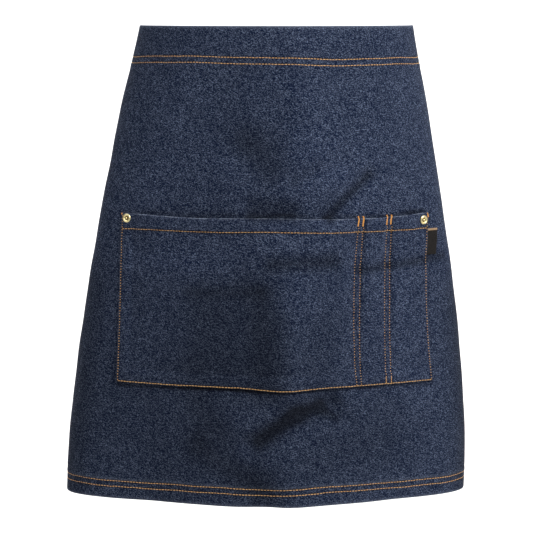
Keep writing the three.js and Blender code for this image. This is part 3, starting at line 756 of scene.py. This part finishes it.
def pocket():
    """Outer and inner faces over one grid that follows the pocket's outline and has lines
    close about its seams. Both close on a quarter circle at the folded edges."""
    radius = CLOTH
    near = np.array([-1.6, -0.8, 0, 0.8, 1.6])
    rows = np.concatenate([
        POCKET_TOP + fold_marks(radius), [POCKET_TOP + 8, POCKET_TOP + 12.5],
        row_marks(POCKET_TOP + POCKET_ROW), [POCKET_BOTTOM - 9],
        POCKET_BOTTOM - np.array([2.6, 2.0]), POCKET_BOTTOM - fold_marks(radius),
    ])
    rows = lines_between(np.unique(np.round(rows, 3)), 2.3)
    down = rows[:, None]
    half, middle = pocket_span(down)
    edge = np.concatenate([fold_marks(radius), [POCKET_SIDE_ROW, 2.6, 4, 6, 8, 9.5, 11]])
    seams = [seam_line(seam, down) for seam in SEAMS]
    marks = [seam + offset for seam in seams for offset in near]
    marks = [middle - half + edge[-1]] + marks + [middle + half - edge[-1]]
    stretches = [middle - half + edge[None, :]]
    for a, b in zip(marks, marks[1:]):
        cells = max(1, round(float(np.mean(b - a)) / 2.3))
        stretches.append(a + (b - a) * np.arange(1, cells + 1)[None, :] / cells)
    stretches[-1] = stretches[-1][:, :-1]
    stretches.append((middle + half - edge[None, :])[:, ::-1])
    s = np.concatenate(stretches, axis=1)
    down = np.repeat(down, s.shape[1], axis=1)
    half, middle = pocket_span(down)
    side = half - np.abs(s - middle)
    top, bottom = down - POCKET_TOP, POCKET_BOTTOM - down
    distance = np.minimum(side, np.minimum(top, bottom))
    close = rounded(distance, radius)
    drop = lifted(s, down)
    out = pocket_out(s, down)
    inside = GAP + pocket_lift(s, down)
    fold = inside + radius
    outer = on_cloth(s, drop, fold + (out - fold) * close)
    inner = on_cloth(s, drop, fold + (inside - fold) * close)
    patchy = np.clip(0.5 + ripple(s, 0 * s, 11, (7, 11, 17, 5.3, 29), 1.5), 0.1, 1)
    # Pale along the folded edges: wear on the folds, and along the top edge also a painted
    # highlight where the rolled edge catches the light
    worn = (0.95 * patchy * bump(top - 0.25, 0.5) + 0.35 * bump(side, 1.0)
            + 0.25 * bump(bottom, 0.8))
    # Painted shade along the pocket's sewn rows and seams
    shaded = (0.8 * bump(top - POCKET_ROW, 1.0) + 0.6 * bump(side - POCKET_SIDE_ROW, 0.9)
              + 0.7 * bump(bottom - POCKET_LOW_ROW, 0.8))
    for seam in SEAMS:
        shaded = shaded + 0.55 * bump(s - seam_line(seam, down), 1.0)
    # Outside, also the table's painted shade and light
    outside = shaded + along_lines(PAINTED_SHADING, s, drop)
    turned = (np.minimum(side, bottom) < POCKET_TURN) | (top < POCKET_HEM)
    cell = (~(turned[:-1, :-1] & turned[1:, 1:])).astype(int)
    piece = shell_piece(
        "pocket_cloth", outer, inner, (s + 611, down + 407), [DENIM, DENIM_BACK],
        (("worn", worn), ("shaded", (outside, shaded))), ("pocket",), cell)
    return piece


# --- Sewing ---

# Spaces between stitches, and how the threads down the pocket's sides and seams are sewn
ROW_PITCH, SIDE_PITCH, POCKET_PITCH, END_PITCH = 3.3, 2.9, 3.2, 2.4
UPRIGHT = {"pitch": 2.95, "part": 0.36, "width": 0.95, "thick": 0.8, "rise": 0.25, "sink": 0.2}
THREAD_SIDES = 6


def stitch_mesh(starts, ends, normals, width, height, rise, sink):
    """Short threads from start to end, all at once. Each thread's middle line is straight
    between its ends and rises by (sine of pi t) to the power 0.6, from sunk ends, and its
    section is an ellipse that narrows at the ends. Its two end caps face inwards, a known
    fault: without the last [:, ::-1] of first and last they would face outwards."""
    sides = THREAD_SIDES
    stations = np.array([0.0, 0.1, 0.32, 0.68, 0.9, 1.0])
    arch = np.sin(np.pi * stations) ** 0.6
    slim = np.array([0.3, 0.8, 1.0, 1.0, 0.8, 0.3])
    count = len(starts)
    along = ends - starts
    span = np.linalg.norm(along, axis=1)
    side = np.cross(normals, along)
    side /= np.linalg.norm(side, axis=1)[:, None]
    line = starts[:, None] + along[:, None] * stations[None, :, None]
    line = line + normals[:, None] * (rise * arch - sink * (1 - arch))[None, :, None]
    angle = np.arange(sides) * 2 * np.pi / sides
    ring = (side[:, None, None] * (width / 2 * np.cos(angle))[None, None, :, None]
            + normals[:, None, None] * (height / 2 * np.sin(angle))[None, None, :, None])
    rings = line[:, :, None] + ring * slim[None, :, None, None]
    tips = line[:, [0, -1]]
    points = np.concatenate([rings.reshape(count, -1, 3), tips], axis=1)
    each = points.shape[1]
    n = len(stations)
    tube = grid_faces(n, sides, around=True)[:, ::-1]
    a, b = np.arange(sides), (np.arange(sides) + 1) % sides
    first = np.stack([np.full(sides, n * sides), b, a], axis=1)[:, ::-1]
    last = np.stack([np.full(sides, n * sides + 1), (n - 1) * sides + a,
                     (n - 1) * sides + b], axis=1)[:, ::-1]
    shift = (np.arange(count) * each)[:, None, None]
    uv_along = np.concatenate([np.repeat(stations, sides), [0, 1]])
    uv_round = np.concatenate([np.tile(angle / (2 * np.pi), n), [0, 0]])
    travelled = np.concatenate([[0], np.cumsum(span)[:-1]])
    uv = np.stack([travelled[:, None] + span[:, None] * uv_along[None],
                   np.broadcast_to(uv_round * 2.4, (count, each))], axis=-1)
    caps = np.concatenate([first, last])
    faces = [(f[None] + shift).reshape(-1, f.shape[1]) for f in (tube, caps)]
    return points.reshape(-1, 3), faces, uv.reshape(-1, 2)


def sewn(name, meshes, finish=THREAD):
    """Rows of stitches as one piece: their points one after another and their faces moved
    along."""
    start = np.cumsum([0] + [len(points) for points, _, _ in meshes])
    faces = [np.concatenate([kinds[k] + at for (_, kinds, _), at in zip(meshes, start)])
             for k in (0, 1)]
    points, uv = (np.concatenate([mesh[k] for mesh in meshes]) for k in (0, 2))
    make_piece(name, points, faces, [finish], uv=uv)


def stations_along(line, pitch):
    """Places a stitch apart along a line of points, by its length."""
    step = np.linalg.norm(np.diff(line, axis=0), axis=1)
    length = np.concatenate([[0], np.cumsum(step)])
    places = np.linspace(0, length[-1], max(2, round(length[-1] / pitch)) + 1)
    return np.stack([np.interp(places, length, line[:, k]) for k in range(line.shape[1])], axis=1)


def threads(a, b, height_at, width, thick, rise, sink, facing=1):
    """A thread from each (s, down) place of a to its place of b, on a face of the cloth whose
    height is given."""
    ends = [on_cloth(s, down, height_at(s, down)) for s, down in (a.T, b.T)]
    normals = facing * face_normals(*((a + b) / 2).T, height_at)
    return stitch_mesh(*ends, normals, width, thick, rise, sink)


def sew(line, height_at, pitch, part=1.0, width=0.82, thick=0.62, rise=0.12, sink=0.35,
        facing=1, stray=0.12):
    """A row of stitches along a line of (s, down) places on a face whose height is given.
    part is the share of the pitch that each thread shows, and facing is -1 on the inside."""
    places = stations_along(line, pitch)
    places = places + rng.normal(0, stray, places.shape)
    gap = (1 - part) / 2
    a = places[:-1] * (1 - gap) + places[1:] * gap
    b = places[:-1] * gap + places[1:] * (1 - gap)
    return threads(a, b, height_at, width, thick, rise, sink, facing)


def face_normals(s, down, height_at):
    """Outward normals of a face on the cloth: the cross product of its two tangents."""
    e = 0.8

    def at(s, down):
        return on_cloth(s, down, height_at(s, down))

    across = at(s + e, down) - at(s - e, down)
    along = at(s, down + e) - at(s, down - e)
    normal = np.cross(across, -along)
    return normal / np.linalg.norm(normal, axis=1)[:, None]


def panel_inside(s, down):
    """Height of the turned hems' inner face."""
    return HEM_INNER + panel_relief(s, down)


def level_row(down):
    """A level row across the panel, ending a little inside its side edges."""
    half = float(half_arc(np.array(float(down)))) - ROW_INSET
    s = np.linspace(-half, half, 400)
    return np.stack([s, down + 0.35 * np.sin(s / 23) + 0.2 * np.sin(s / 9 + down)], axis=1)


def upright_row(side):
    """The row down a side edge of the panel, a fixed distance from it."""
    down = np.linspace(BAND_DEPTH + 1, LENGTH - BOTTOM_HEM - 1, 400)
    return np.stack([side * (half_arc(down) - SIDE_ROW), down], axis=1)


def sew_panel_rows():
    """The panel's rows: two below its waist edge, two above its hem and one down each side,
    each seen again on the inside."""
    for name, rows in (("waist_stitching", PANEL_ROWS[:2]), ("hem_stitching", PANEL_ROWS[2:])):
        lines = [level_row(row) for row in rows]
        sewn(name, [sew(line, panel_relief, ROW_PITCH, 0.97) for line in lines]
             + [sew(line, panel_inside, ROW_PITCH, 0.9, facing=-1) for line in lines])
    for name, side in (("side_stitching_left", -1), ("side_stitching_right", 1)):
        line = upright_row(side)
        sewn(name, [sew(line, panel_relief, SIDE_PITCH, 0.6, sink=0.45),
                    sew(line, panel_inside, SIDE_PITCH, 0.7, facing=-1)])


def pocket_face(s, down):
    """Height of the pocket's outer face under a drop that its lifted corners have moved."""
    return pocket_out(s, down + corner_lift(s, down))


def on_pocket(s, down):
    """Places on the pocket as its lifted corners have moved them."""
    return np.stack([s, lifted(s, down)], axis=1)


def across_pocket(down):
    """Places across the pocket at a drop, from one side row to the other."""
    half, middle = pocket_span(down)
    return np.linspace(-half + POCKET_SIDE_ROW, half - POCKET_SIDE_ROW, 300) + middle


def sew_pocket():
    """The pocket's rows: across its top hem, down both sides, along its lower edge, and two
    pairs of seams that part the pen slots from the wide room."""
    s = across_pocket(POCKET_TOP + POCKET_ROW)
    row = np.stack([s, POCKET_TOP + POCKET_ROW + 0.3 * np.sin(s / 19)], axis=1)
    sewn("pocket_hem_stitching", [sew(row, pocket_face, POCKET_PITCH, 0.97)])

    down = np.linspace(POCKET_TOP + 1.5, POCKET_BOTTOM - 1.2, 300)
    half, middle = pocket_span(down)
    sides = [on_pocket(middle + k * (half - POCKET_SIDE_ROW), down) for k in (-1, 1)]
    s = across_pocket(POCKET_BOTTOM)
    lower = on_pocket(s, np.full_like(s, POCKET_BOTTOM - POCKET_LOW_ROW))
    sewn("pocket_edge_stitching", [sew(line, pocket_face, **UPRIGHT) for line in sides]
         + [sew(lower, pocket_face, POCKET_PITCH, 0.98, rise=0.2)])

    down = np.linspace(POCKET_TOP + 11, POCKET_BOTTOM - 1.5, 300)
    lines = [on_pocket(seam_line(seam, down), down) for seam in SEAMS]
    sewn("slot_stitching", [sew(line, pocket_face, stray=0.16, **UPRIGHT) for line in lines])


def satin(line, width):
    """A bar of close zigzag stitches over the pocket's edge, along a line of (s, down) places:
    each thread crosses it from one side to the other, a little on from the last."""
    places = stations_along(line, 0.42)
    along = np.gradient(places, axis=0)
    along /= np.linalg.norm(along, axis=1)[:, None]
    across = np.stack([along[:, 1], -along[:, 0]], axis=1)
    swing = np.where(np.arange(len(places)) % 2 == 0, 1, -1)[:, None]
    ends = places + across * swing * width / 2 + rng.normal(0, 0.05, places.shape)
    return threads(ends[:-1], ends[1:], over_pocket_edge, 0.5, 0.4, 0.3, 0.15)


def over_pocket_edge(s, down):
    """Height that sewing over the pocket's top edge takes: the pocket's face below the edge,
    and a slope down to the panel above it."""
    on_pocket = pocket_face(s, np.maximum(down, POCKET_TOP + 1.2))
    share = eased(down, POCKET_TOP - 2.2, POCKET_TOP + 1.0)
    return panel_relief(s, down) * (1 - share) + on_pocket * share


# Bars over the pocket's top edge: seam, place beside it, lean of the top, drops of the two ends
BARS = ((0, -1.4, 0.2, -2.0, 10.0), (1, -1.0, 0.4, -1.8, 10.2),
        (2, -2.0, 1.7, -1.6, 9.8), (3, -1.7, 1.4, -1.4, 9.6))


def sew_bars():
    """Bartacks where the seams meet the pocket's top, close tacks at its upper corners and at
    the seams' lower ends."""
    bars = []
    for seam, beside, lean, top, bottom in BARS:
        down = POCKET_TOP + np.linspace(top, bottom, 40)
        leaning = lean * eased(-down, -POCKET_TOP - 3, -POCKET_TOP - top)
        s = seam_line(SEAMS[seam], np.maximum(down, POCKET_TOP)) + beside + leaning
        bars.append(satin(np.stack([s, down], axis=1), 1.9))
    half, middle = pocket_span(POCKET_TOP)
    right, left = middle + half, middle - half
    for ends, width in ((((right - 2.4, 0.3), (right - 1.4, 4.8)), 1.7),
                        (((left + 0.6, 0.2), (left + 1.2, 1.6)), 1.2)):
        bars.append(satin(np.array(ends) + (0, POCKET_TOP), width))
    sewn("bartacks", bars, TACK_THREAD)

    down = np.linspace(POCKET_BOTTOM - 8.5, POCKET_BOTTOM - 1.5, 30)
    lines = [on_pocket(seam_line(SEAMS[seam], down) - beside, down)
             for seam, beside in ((2, 0.6), (3, 0.0))]
    sewn("seam_end_tacks", [sew(line, pocket_face, END_PITCH, 0.95, rise=0.3) for line in lines])


# --- Rivets ---

RIVETS = (("rivet_left", -1, 5.2), ("rivet_right", 1, 7.5))
CAP_RADIUS, CAP_HEIGHT, WELL_RADIUS, WELL_DEPTH, NUB_RADIUS = 4.75, 1.7, 2.3, 1.0, 1.2
POST_RADIUS, BACK_RADIUS, BACK_HEIGHT, RIVET_INSET = 1.6, 4.0, 0.9, 7.2
RIVET_BED, RIVET_TURNS = 0.35, 48


def rivet(name, side, drop):
    """A rivet turned about its axis: a domed cap with a sunk well and a nub in it, a post
    through both cloths and a flat back. The profile is a line of radius and height."""
    down = POCKET_TOP + drop
    half, middle = pocket_span(np.array(down))
    s = float(middle + side * (half - RIVET_INSET))
    at = on_cloth(s, down, 0)
    r = CAP_RADIUS
    across = on_cloth(s + r, down, 0) - on_cloth(s - r, down, 0)
    upward = on_cloth(s, down - r, 0) - on_cloth(s, down + r, 0)
    axis = np.cross(across, upward)
    axis /= np.linalg.norm(axis)
    angle = np.arange(8) * np.pi / 4

    def heights(radius, out):
        ring = on_cloth(s + radius * np.cos(angle), down + radius * np.sin(angle), out)
        return (np.vstack([ring, on_cloth(s, down, out)]) - at) @ axis

    seat = GAP + heights(CAP_RADIUS, GAP + 2 * CLOTH).max() - RIVET_BED
    back_seat = heights(BACK_RADIUS, -CLOTH).min() - GAP
    t = np.radians(np.linspace(0, 160, 12))
    centre_r, round_r = (CAP_RADIUS + WELL_RADIUS) / 2, (CAP_RADIUS - WELL_RADIUS) / 2
    dome_r = centre_r + round_r * np.cos(t)
    dome_h = seat + RIVET_BED + (CAP_HEIGHT - RIVET_BED) * np.sin(t)
    well = seat + CAP_HEIGHT - WELL_DEPTH
    profile = [(0, back_seat - BACK_HEIGHT), (BACK_RADIUS * 0.9, back_seat - BACK_HEIGHT),
               (BACK_RADIUS, back_seat - BACK_HEIGHT * 0.6), (BACK_RADIUS, back_seat),
               (POST_RADIUS, back_seat), (POST_RADIUS, seat), (CAP_RADIUS * 0.97, seat)]
    profile += list(zip(dome_r, dome_h))
    profile += [(WELL_RADIUS * 0.9, well), (NUB_RADIUS * 1.15, well),
                (NUB_RADIUS, well + 0.3), (NUB_RADIUS * 0.75, well + 0.62),
                (NUB_RADIUS * 0.4, well + 0.78), (0, well + 0.82)]
    profile = np.array(profile)
    turns = RIVET_TURNS
    a = np.arange(turns) * 2 * np.pi / turns
    first = np.cross(axis, [0, 0, 1.0])
    first /= np.linalg.norm(first)
    second = np.cross(axis, first)
    body = profile[1:-1]
    wheel = first * np.cos(a)[:, None] + second * np.sin(a)[:, None]
    rings = at + axis * body[:, 1, None, None] + wheel * body[:, 0, None, None]
    poles = at + axis * profile[[0, -1], 1][:, None]
    points = np.concatenate([rings.reshape(-1, 3), poles])
    n = len(body)
    tube = grid_faces(n, turns, around=True)
    k, m = np.arange(turns), (np.arange(turns) + 1) % turns
    low = np.stack([np.full(turns, n * turns), k, m], axis=1)
    high = np.stack([np.full(turns, n * turns + 1), (n - 1) * turns + m, (n - 1) * turns + k],
                    axis=1)
    faces = [tube, np.concatenate([low, high])]
    p, q, _, o = points[tube[0]]
    if np.dot(np.cross(q - p, o - p), axis) > 0:
        faces = [f[:, ::-1] for f in faces]
    radius, height = body.T
    in_well = (radius < WELL_RADIUS * 0.95) & (radius > NUB_RADIUS * 0.9) & (height > seat)
    recessed = np.concatenate([np.repeat(in_well.astype(float), turns), [0, 0]])
    make_piece(name + "_brass", points, faces, [BRASS],
               values=[("recessed", recessed)], replaces=(name,))


# --- Label tab ---

LABEL_WIDTH, LABEL_HEIGHT, LABEL_DROP, LABEL_SEAT, LABEL_WALL = 12.5, 27, 17.5, 0.6, 1.0


def label():
    """A folded woven tab sewn into the pocket's right seam: two close faces with a rounded
    rim, a woven stripe along its top, and a slight bow off the panel at its free edge."""
    rim = 0.5 * (1 - np.cos(np.linspace(0.4, np.pi / 2, 3)))
    u = lines_between(np.concatenate([[0], rim, [LABEL_WIDTH / 2]]), 0.8)
    u = np.concatenate([u, (LABEL_WIDTH - u)[::-1][1:]])
    marks = [0, 0.1, 0.3, 0.5, 1.9, 2.1]
    marks += [LABEL_HEIGHT - 0.5, LABEL_HEIGHT - 0.3, LABEL_HEIGHT - 0.1, LABEL_HEIGHT]
    v = lines_between(np.array(marks), 0.9)
    down = np.repeat((POCKET_TOP + LABEL_DROP + v)[:, None], len(u), axis=1)
    half, middle = pocket_span(down)
    s = middle + half + GAP + u[None, :]
    distance = np.minimum(np.minimum(u, LABEL_WIDTH - u)[None, :],
                          np.minimum(v, LABEL_HEIGHT - v)[:, None])
    close = rounded(distance, 0.5)
    bow = 0.9 * (u[None, :] / LABEL_WIDTH) ** 2 * (1 + 0.3 * np.sin(v[:, None] / 5))
    stripe = ((v < 2.0)[:, None] & np.ones(len(u), bool)[None]).astype(float)
    fold = LABEL_SEAT + LABEL_WALL / 2 + bow
    ridge = 0.12 * stripe
    outer = on_cloth(s, down, fold + (LABEL_WALL / 2 + ridge) * close)
    inner = on_cloth(s, down, fold - LABEL_WALL / 2 * close)
    piece = shell_piece("label_tab_cloth", outer, inner, (s, down), [TAPE],
                        (("striped", stripe),), ("label_tab",))
    return piece


# --- Ties and knot ---

def loop_edge(side, z):
    """Where the ties' inner face leaves the panel's side edge, at a height."""
    down = BAND_DEPTH / 2 - np.clip(z, -BAND_DEPTH / 2, BAND_DEPTH / 2)
    return on_cloth(side * half_arc(down), down, TIE_INNER)


def on_loop(x, z, out):
    """Place on the waist loop behind the panel: half an oval from one edge round the back to
    the other at each height, moved out along its level normal."""
    x, z, out = np.broadcast_arrays(*[np.asarray(v, float) for v in (x, z, out)])
    left, right = loop_edge(-1, z), loop_edge(1, z)
    middle, reach = (left[..., 0] + right[..., 0]) / 2, (right[..., 0] - left[..., 0]) / 2
    t = np.clip((x - middle) / reach, -1, 1)
    y = left[..., 1] + (right[..., 1] - left[..., 1]) * (t + 1) / 2 + LOOP_BACK * np.sqrt(1 - t * t)
    nx, ny = t * LOOP_BACK, np.sqrt(1 - t * t) * reach
    size = np.hypot(nx, ny)
    return np.stack([middle + t * reach + nx / size * out, y + ny / size * out, z], axis=-1)


def narrowed(near):
    """The tie's width by its nearness to the knot."""
    return TIE_WIDTH * (1 - (1 - KNOT_NARROWING) * near)


def tie_route(side, lift):
    """Stations of a tie from the waistband's end to its tail's end. Each gives a function of
    the share across the strap and the height above its inner face."""
    edge, far = loop_edge(side, 0.0), loop_edge(-side, 0.0)
    middle, reach = (edge[0] + far[0]) / 2, abs(edge[0] - far[0]) / 2
    knot_angle = np.arccos(KNOT_HALF / reach)
    stations = []

    def lapped(back):
        def place(k, out):
            down = BAND_DEPTH / 2 - k * TIE_WIDTH
            return on_cloth(side * (half_arc(down) - back), down, TIE_INNER + TIE_WALL - out)
        return place

    def round_back(angle, width, shift):
        def place(k, out):
            z = k * width
            own, other = loop_edge(side, z)[..., 0], loop_edge(-side, z)[..., 0]
            return on_loop((own + other) / 2 + (own - other) / 2 * np.cos(angle), z, shift + out)
        return place

    def leaning(x0, z0, angle, width):
        def place(k, out):
            x = x0 + np.sin(angle) * k * width
            return on_loop(middle - side * x, z0 + np.cos(angle) * k * width, lift + out)
        return place

    stations += [(lapped(back), 0.0) for back in np.linspace(TIE_LAP, 1.5, 9)]
    for share in np.linspace(0, 1, 66)[1:]:
        angle = knot_angle * share
        near = eased(np.array(share), 0.8, 1.0)
        shift = lift * eased(np.array(angle), 0, knot_angle * 0.6)
        stations.append((round_back(angle, narrowed(near), shift), float(near)))
    for share in np.linspace(0, 1, 9)[1:-1]:
        place = leaning(-KNOT_HALF * (1 - 2 * share), 0.0, 0.0, TIE_WIDTH * KNOT_NARROWING)
        stations.append((place, 1.0))
    end = np.radians(90 - TAIL_SPLAY)

    def bent(angle):
        return KNOT_HALF + TAIL_BEND * np.sin(angle), -TAIL_BEND * (1 - np.cos(angle))

    for share in np.linspace(0, 1, 15):
        near = 1 - eased(np.array(share), 0, 0.6)
        angle = end * share
        stations.append((leaning(*bent(angle), angle, narrowed(near)), float(near)))
    x, z = bent(end)
    for share in np.linspace(0, 1, 71)[1:]:
        run = TAIL_LENGTH * share
        place = leaning(x + run * np.cos(end), z - run * np.sin(end), end, TIE_WIDTH)
        stations.append((place, 0.0))
    return stations


def tie(name, side, lift, node):
    """A flat doubled strap: outer and inner faces over its stations, closed on rounded long
    edges and ends, with a groove along each sewn edge that fades where it enters the knot."""
    stations = tie_route(side, lift)
    edge = np.concatenate([fold_marks(TIE_WALL / 2), [2.0, 2.6, 3.2]]) / TIE_WIDTH
    across = np.concatenate([edge, np.linspace(0.15, 0.85, 17), (1 - edge)[::-1]]) - 0.5
    side_distance = (0.5 - np.abs(across)) * TIE_WIDTH
    line = np.array([place(np.zeros(1), np.ones(1))[0] for place, _ in stations])
    run = np.concatenate([[0], np.cumsum(np.linalg.norm(np.diff(line, axis=0), axis=1))])
    ends = np.concatenate([run[0] + fold_marks(TIE_WALL / 2), run[-1] - fold_marks(TIE_WALL / 2)])
    lines = np.unique(np.concatenate([run[2:-2], ends]))
    layers = []
    for place, near in stations:
        groove = 0.2 * bump(side_distance - 2.6, 0.8) * (1 - near)
        heights = (TIE_WALL - groove, TIE_WALL / 2 + 0 * groove, 0 * groove)
        layers.append([place(across, height) for height in heights])
    columns = np.array(layers).reshape(len(run), -1).T
    layers = np.stack([np.interp(lines, run, column) for column in columns], axis=1)
    face, core, back = np.moveaxis(layers.reshape(len(lines), 3, -1, 3), 1, 0)
    end_distance = np.minimum(lines - run[0], run[-1] - lines)
    distance = np.minimum(end_distance[:, None], side_distance[None, :])
    close = rounded(distance, TIE_WALL / 2)[..., None]
    outer, inner = core + (face - core) * close, core + (back - core) * close
    u = np.repeat(lines[:, None], len(across), axis=1)
    v = np.repeat((across * TIE_WIDTH)[None, :], len(lines), axis=0)
    worn = 0.6 * bump(distance, 1.1)
    # Painted shade along the strap's sewn edges
    shaded = 0.75 * bump(side_distance - 2.6, 0.9)[None, :] * np.ones((len(lines), 1))
    piece = shell_piece(name, outer, inner, (v + 90 * side, u), [TIE_DENIM],
                        (("worn", worn), ("shaded", shaded)), (node,))
    return piece


KNOT_SIDES, KNOT_LENGTH, PLEAT = 72, 68, 0.42


def knot():
    """A sleeve of gathered cloth round both ties. Its outer section is a soft square that
    swells by the sine of the way along it, with slanting pleats, and it turns in at both ends
    to lie close round the straps."""
    middle = float(loop_edge(-1, 0.0)[0] + loop_edge(1, 0.0)[0]) / 2
    high = TIE_WIDTH * KNOT_NARROWING / 2 + GAP
    layers = 2 * TIE_WALL + GAP
    deep = layers / 2 + GAP
    run = np.linspace(0, 1, 33)
    a = np.arange(KNOT_SIDES) * 2 * np.pi / KNOT_SIDES
    cos, sin = np.cos(a)[None, :], np.sin(a)[None, :]
    swell = (KNOT_WALL * (0.5 + 0.5 * np.sin(np.pi * run)))[:, None]
    pleats = PLEAT * np.sin(a[None, :] * 9 + run[:, None] * 7.5)
    pleats = pleats * np.sin(np.pi * run)[:, None] ** 0.5
    soft = lambda value: np.sign(value) * np.abs(value) ** 0.5
    z = soft(sin) * (high + swell + pleats)
    out = soft(cos) * (deep + swell + pleats)
    x = np.repeat((middle + (2 * run - 1) * KNOT_HALF)[:, None], KNOT_SIDES, axis=1)
    outer = on_loop(x, z, layers / 2 + out)
    square = 1 / np.maximum(np.abs(cos), np.abs(sin))
    inner_run = np.linspace(1, 0, 9)[:, None]
    inner = on_loop(middle + (2 * inner_run - 1) * KNOT_HALF, sin * square * high,
                    layers / 2 + cos * square * deep)
    grid = np.concatenate([outer, inner, outer[:1]])
    rows = len(grid) - 1
    points = grid[:-1].reshape(-1, 3)
    faces = grid_faces(rows + 1, KNOT_SIDES, around=True) % len(points)
    centre = on_loop(middle, 0.0, layers / 2)
    p = points[faces[KNOT_SIDES * 16]]
    if np.dot(np.cross(p[1] - p[0], p[3] - p[0]), p[0] - centre) < 0:
        faces = faces[:, ::-1]
    around = np.repeat(a[None, :] * 14, rows, axis=0)
    along = np.repeat(np.linspace(0, 60, rows)[:, None], KNOT_SIDES, axis=1)
    pleated = np.concatenate([pleats, np.zeros((len(inner), KNOT_SIDES))]) / PLEAT
    # Painted highlight on the pleats' tops and painted shade in their hollows
    worn, shaded = 0.35 * np.clip(pleated, 0, 1), 0.5 * np.clip(-pleated, 0, 1)
    piece = make_piece("tie_knot_cloth", points, [faces], [TIE_DENIM],
                       uv=np.stack([around.ravel(), along.ravel()], axis=1),
                       values=[("worn", worn.ravel()), ("shaded", shaded.ravel())],
                       replaces=("tie_knot",))
    return piece


# --- Stage and light ---

def stage():
    """A pale sweep: a level floor below the apron that bends up into a wall far behind it. It
    stays pale to the eye where the lamps don't reach."""
    floor, bend, wall = -990.0, 1500.0, 4200.0
    t = np.linspace(0, np.pi / 2, 20)
    y = np.concatenate([[-4500, 0], wall - bend + bend * np.sin(t), [wall]])
    z = np.concatenate([[floor, floor], floor + bend * (1 - np.cos(t)), [floor + 4200]])
    x = np.array([-4500.0, 4500.0])
    points = np.stack([np.repeat(x[None], len(y), 0), np.repeat(y[:, None], 2, 1),
                       np.repeat(z[:, None], 2, 1)], axis=-1)
    mesh = bpy.data.meshes.new("studio_sweep")
    faces = grid_faces(len(y), 2)[:, ::-1]
    mesh.from_pydata((points * MM).reshape(-1, 3).tolist(), [], faces.tolist())
    mesh.polygons.foreach_set("use_smooth", np.full(len(faces), True))
    finish = Finish("studio_paper", 0.9, Specular_IOR_Level=0.1)
    finish.shader.inputs["Base Color"].default_value = (0.68, 0.68, 0.68, 1)
    pale = finish.node("ShaderNodeEmission", None, {"Strength": 1.0})
    seen = finish.read("ShaderNodeLightPath", "Is Camera Ray") * 0.7
    either = finish.node("ShaderNodeMixShader", None, {0: seen})
    finish.tree.links.new(finish.shader.outputs[0], either.inputs[1])
    finish.tree.links.new(pale.outputs[0], either.inputs[2])
    finish.tree.links.new(either.outputs[0], finish.tree.nodes["Material Output"].inputs["Surface"])
    mesh.materials.append(finish.material)
    in_scene("studio_sweep", mesh)


def lamp(name, place, target, size, power):
    """A soft rectangular lamp at a place, facing a target."""
    data = bpy.data.lights.new(name, "AREA")
    data.shape = "RECTANGLE"
    data.size, data.size_y = size
    data.energy = power
    holder = in_scene(name, data)
    holder.location = place
    away = np.array(place) - np.array(target)
    flat = np.hypot(away[0], away[1])
    turn = np.arctan2(away[1], away[0]) + np.pi / 2
    holder.rotation_euler = (np.arctan2(flat, away[2]), 0, turn)


def light():
    """A key from far round to the right, weaker lamps from the left and from above, one on
    the wall behind, and pale air all round, which the camera sees as white."""
    lamp("key_light", (1.95, -1.55, 1.45), (0, -0.05, 0.12), (0.7, 1.0), 102)
    lamp("left_light", (-2.1, -1.2, 1.6), (0, -0.05, 0.25), (0.6, 0.8), 34)
    lamp("top_light", (0.15, -1.1, 1.5), (0, -0.05, 0.1), (1.0, 0.6), 8)
    lamp("wall_light", (0.3, 2.4, 1.6), (0, 4.2, 0.0), (3.0, 2.0), 340)
    world = bpy.data.worlds.new("studio_air")
    world.use_nodes = True
    nodes, links = world.node_tree.nodes, world.node_tree.links
    air, seen = nodes["Background"], nodes.new("ShaderNodeBackground")
    air.inputs["Color"].default_value = seen.inputs["Color"].default_value = (1, 1, 1, 1)
    air.inputs["Strength"].default_value = 0.14
    seen.inputs["Strength"].default_value = 1.0
    path, either = nodes.new("ShaderNodeLightPath"), nodes.new("ShaderNodeMixShader")
    links.new(path.outputs["Is Camera Ray"], either.inputs[0])
    links.new(air.outputs[0], either.inputs[1])
    links.new(seen.outputs[0], either.inputs[2])
    links.new(either.outputs[0], nodes["World Output"].inputs["Surface"])
    bpy.context.scene.world = world
    bpy.context.scene.view_settings.view_transform = "Standard"


panel()
pocket()
sew_panel_rows()
sew_pocket()
sew_bars()
for rivet_name, rivet_side, rivet_drop in RIVETS:
    rivet(rivet_name, rivet_side, rivet_drop)
label()
tie("tie_strap_left", -1, 0.0, "tie_left")
tie("tie_strap_right", 1, TIE_WALL + GAP, "tie_right")
knot()
stage()
light()
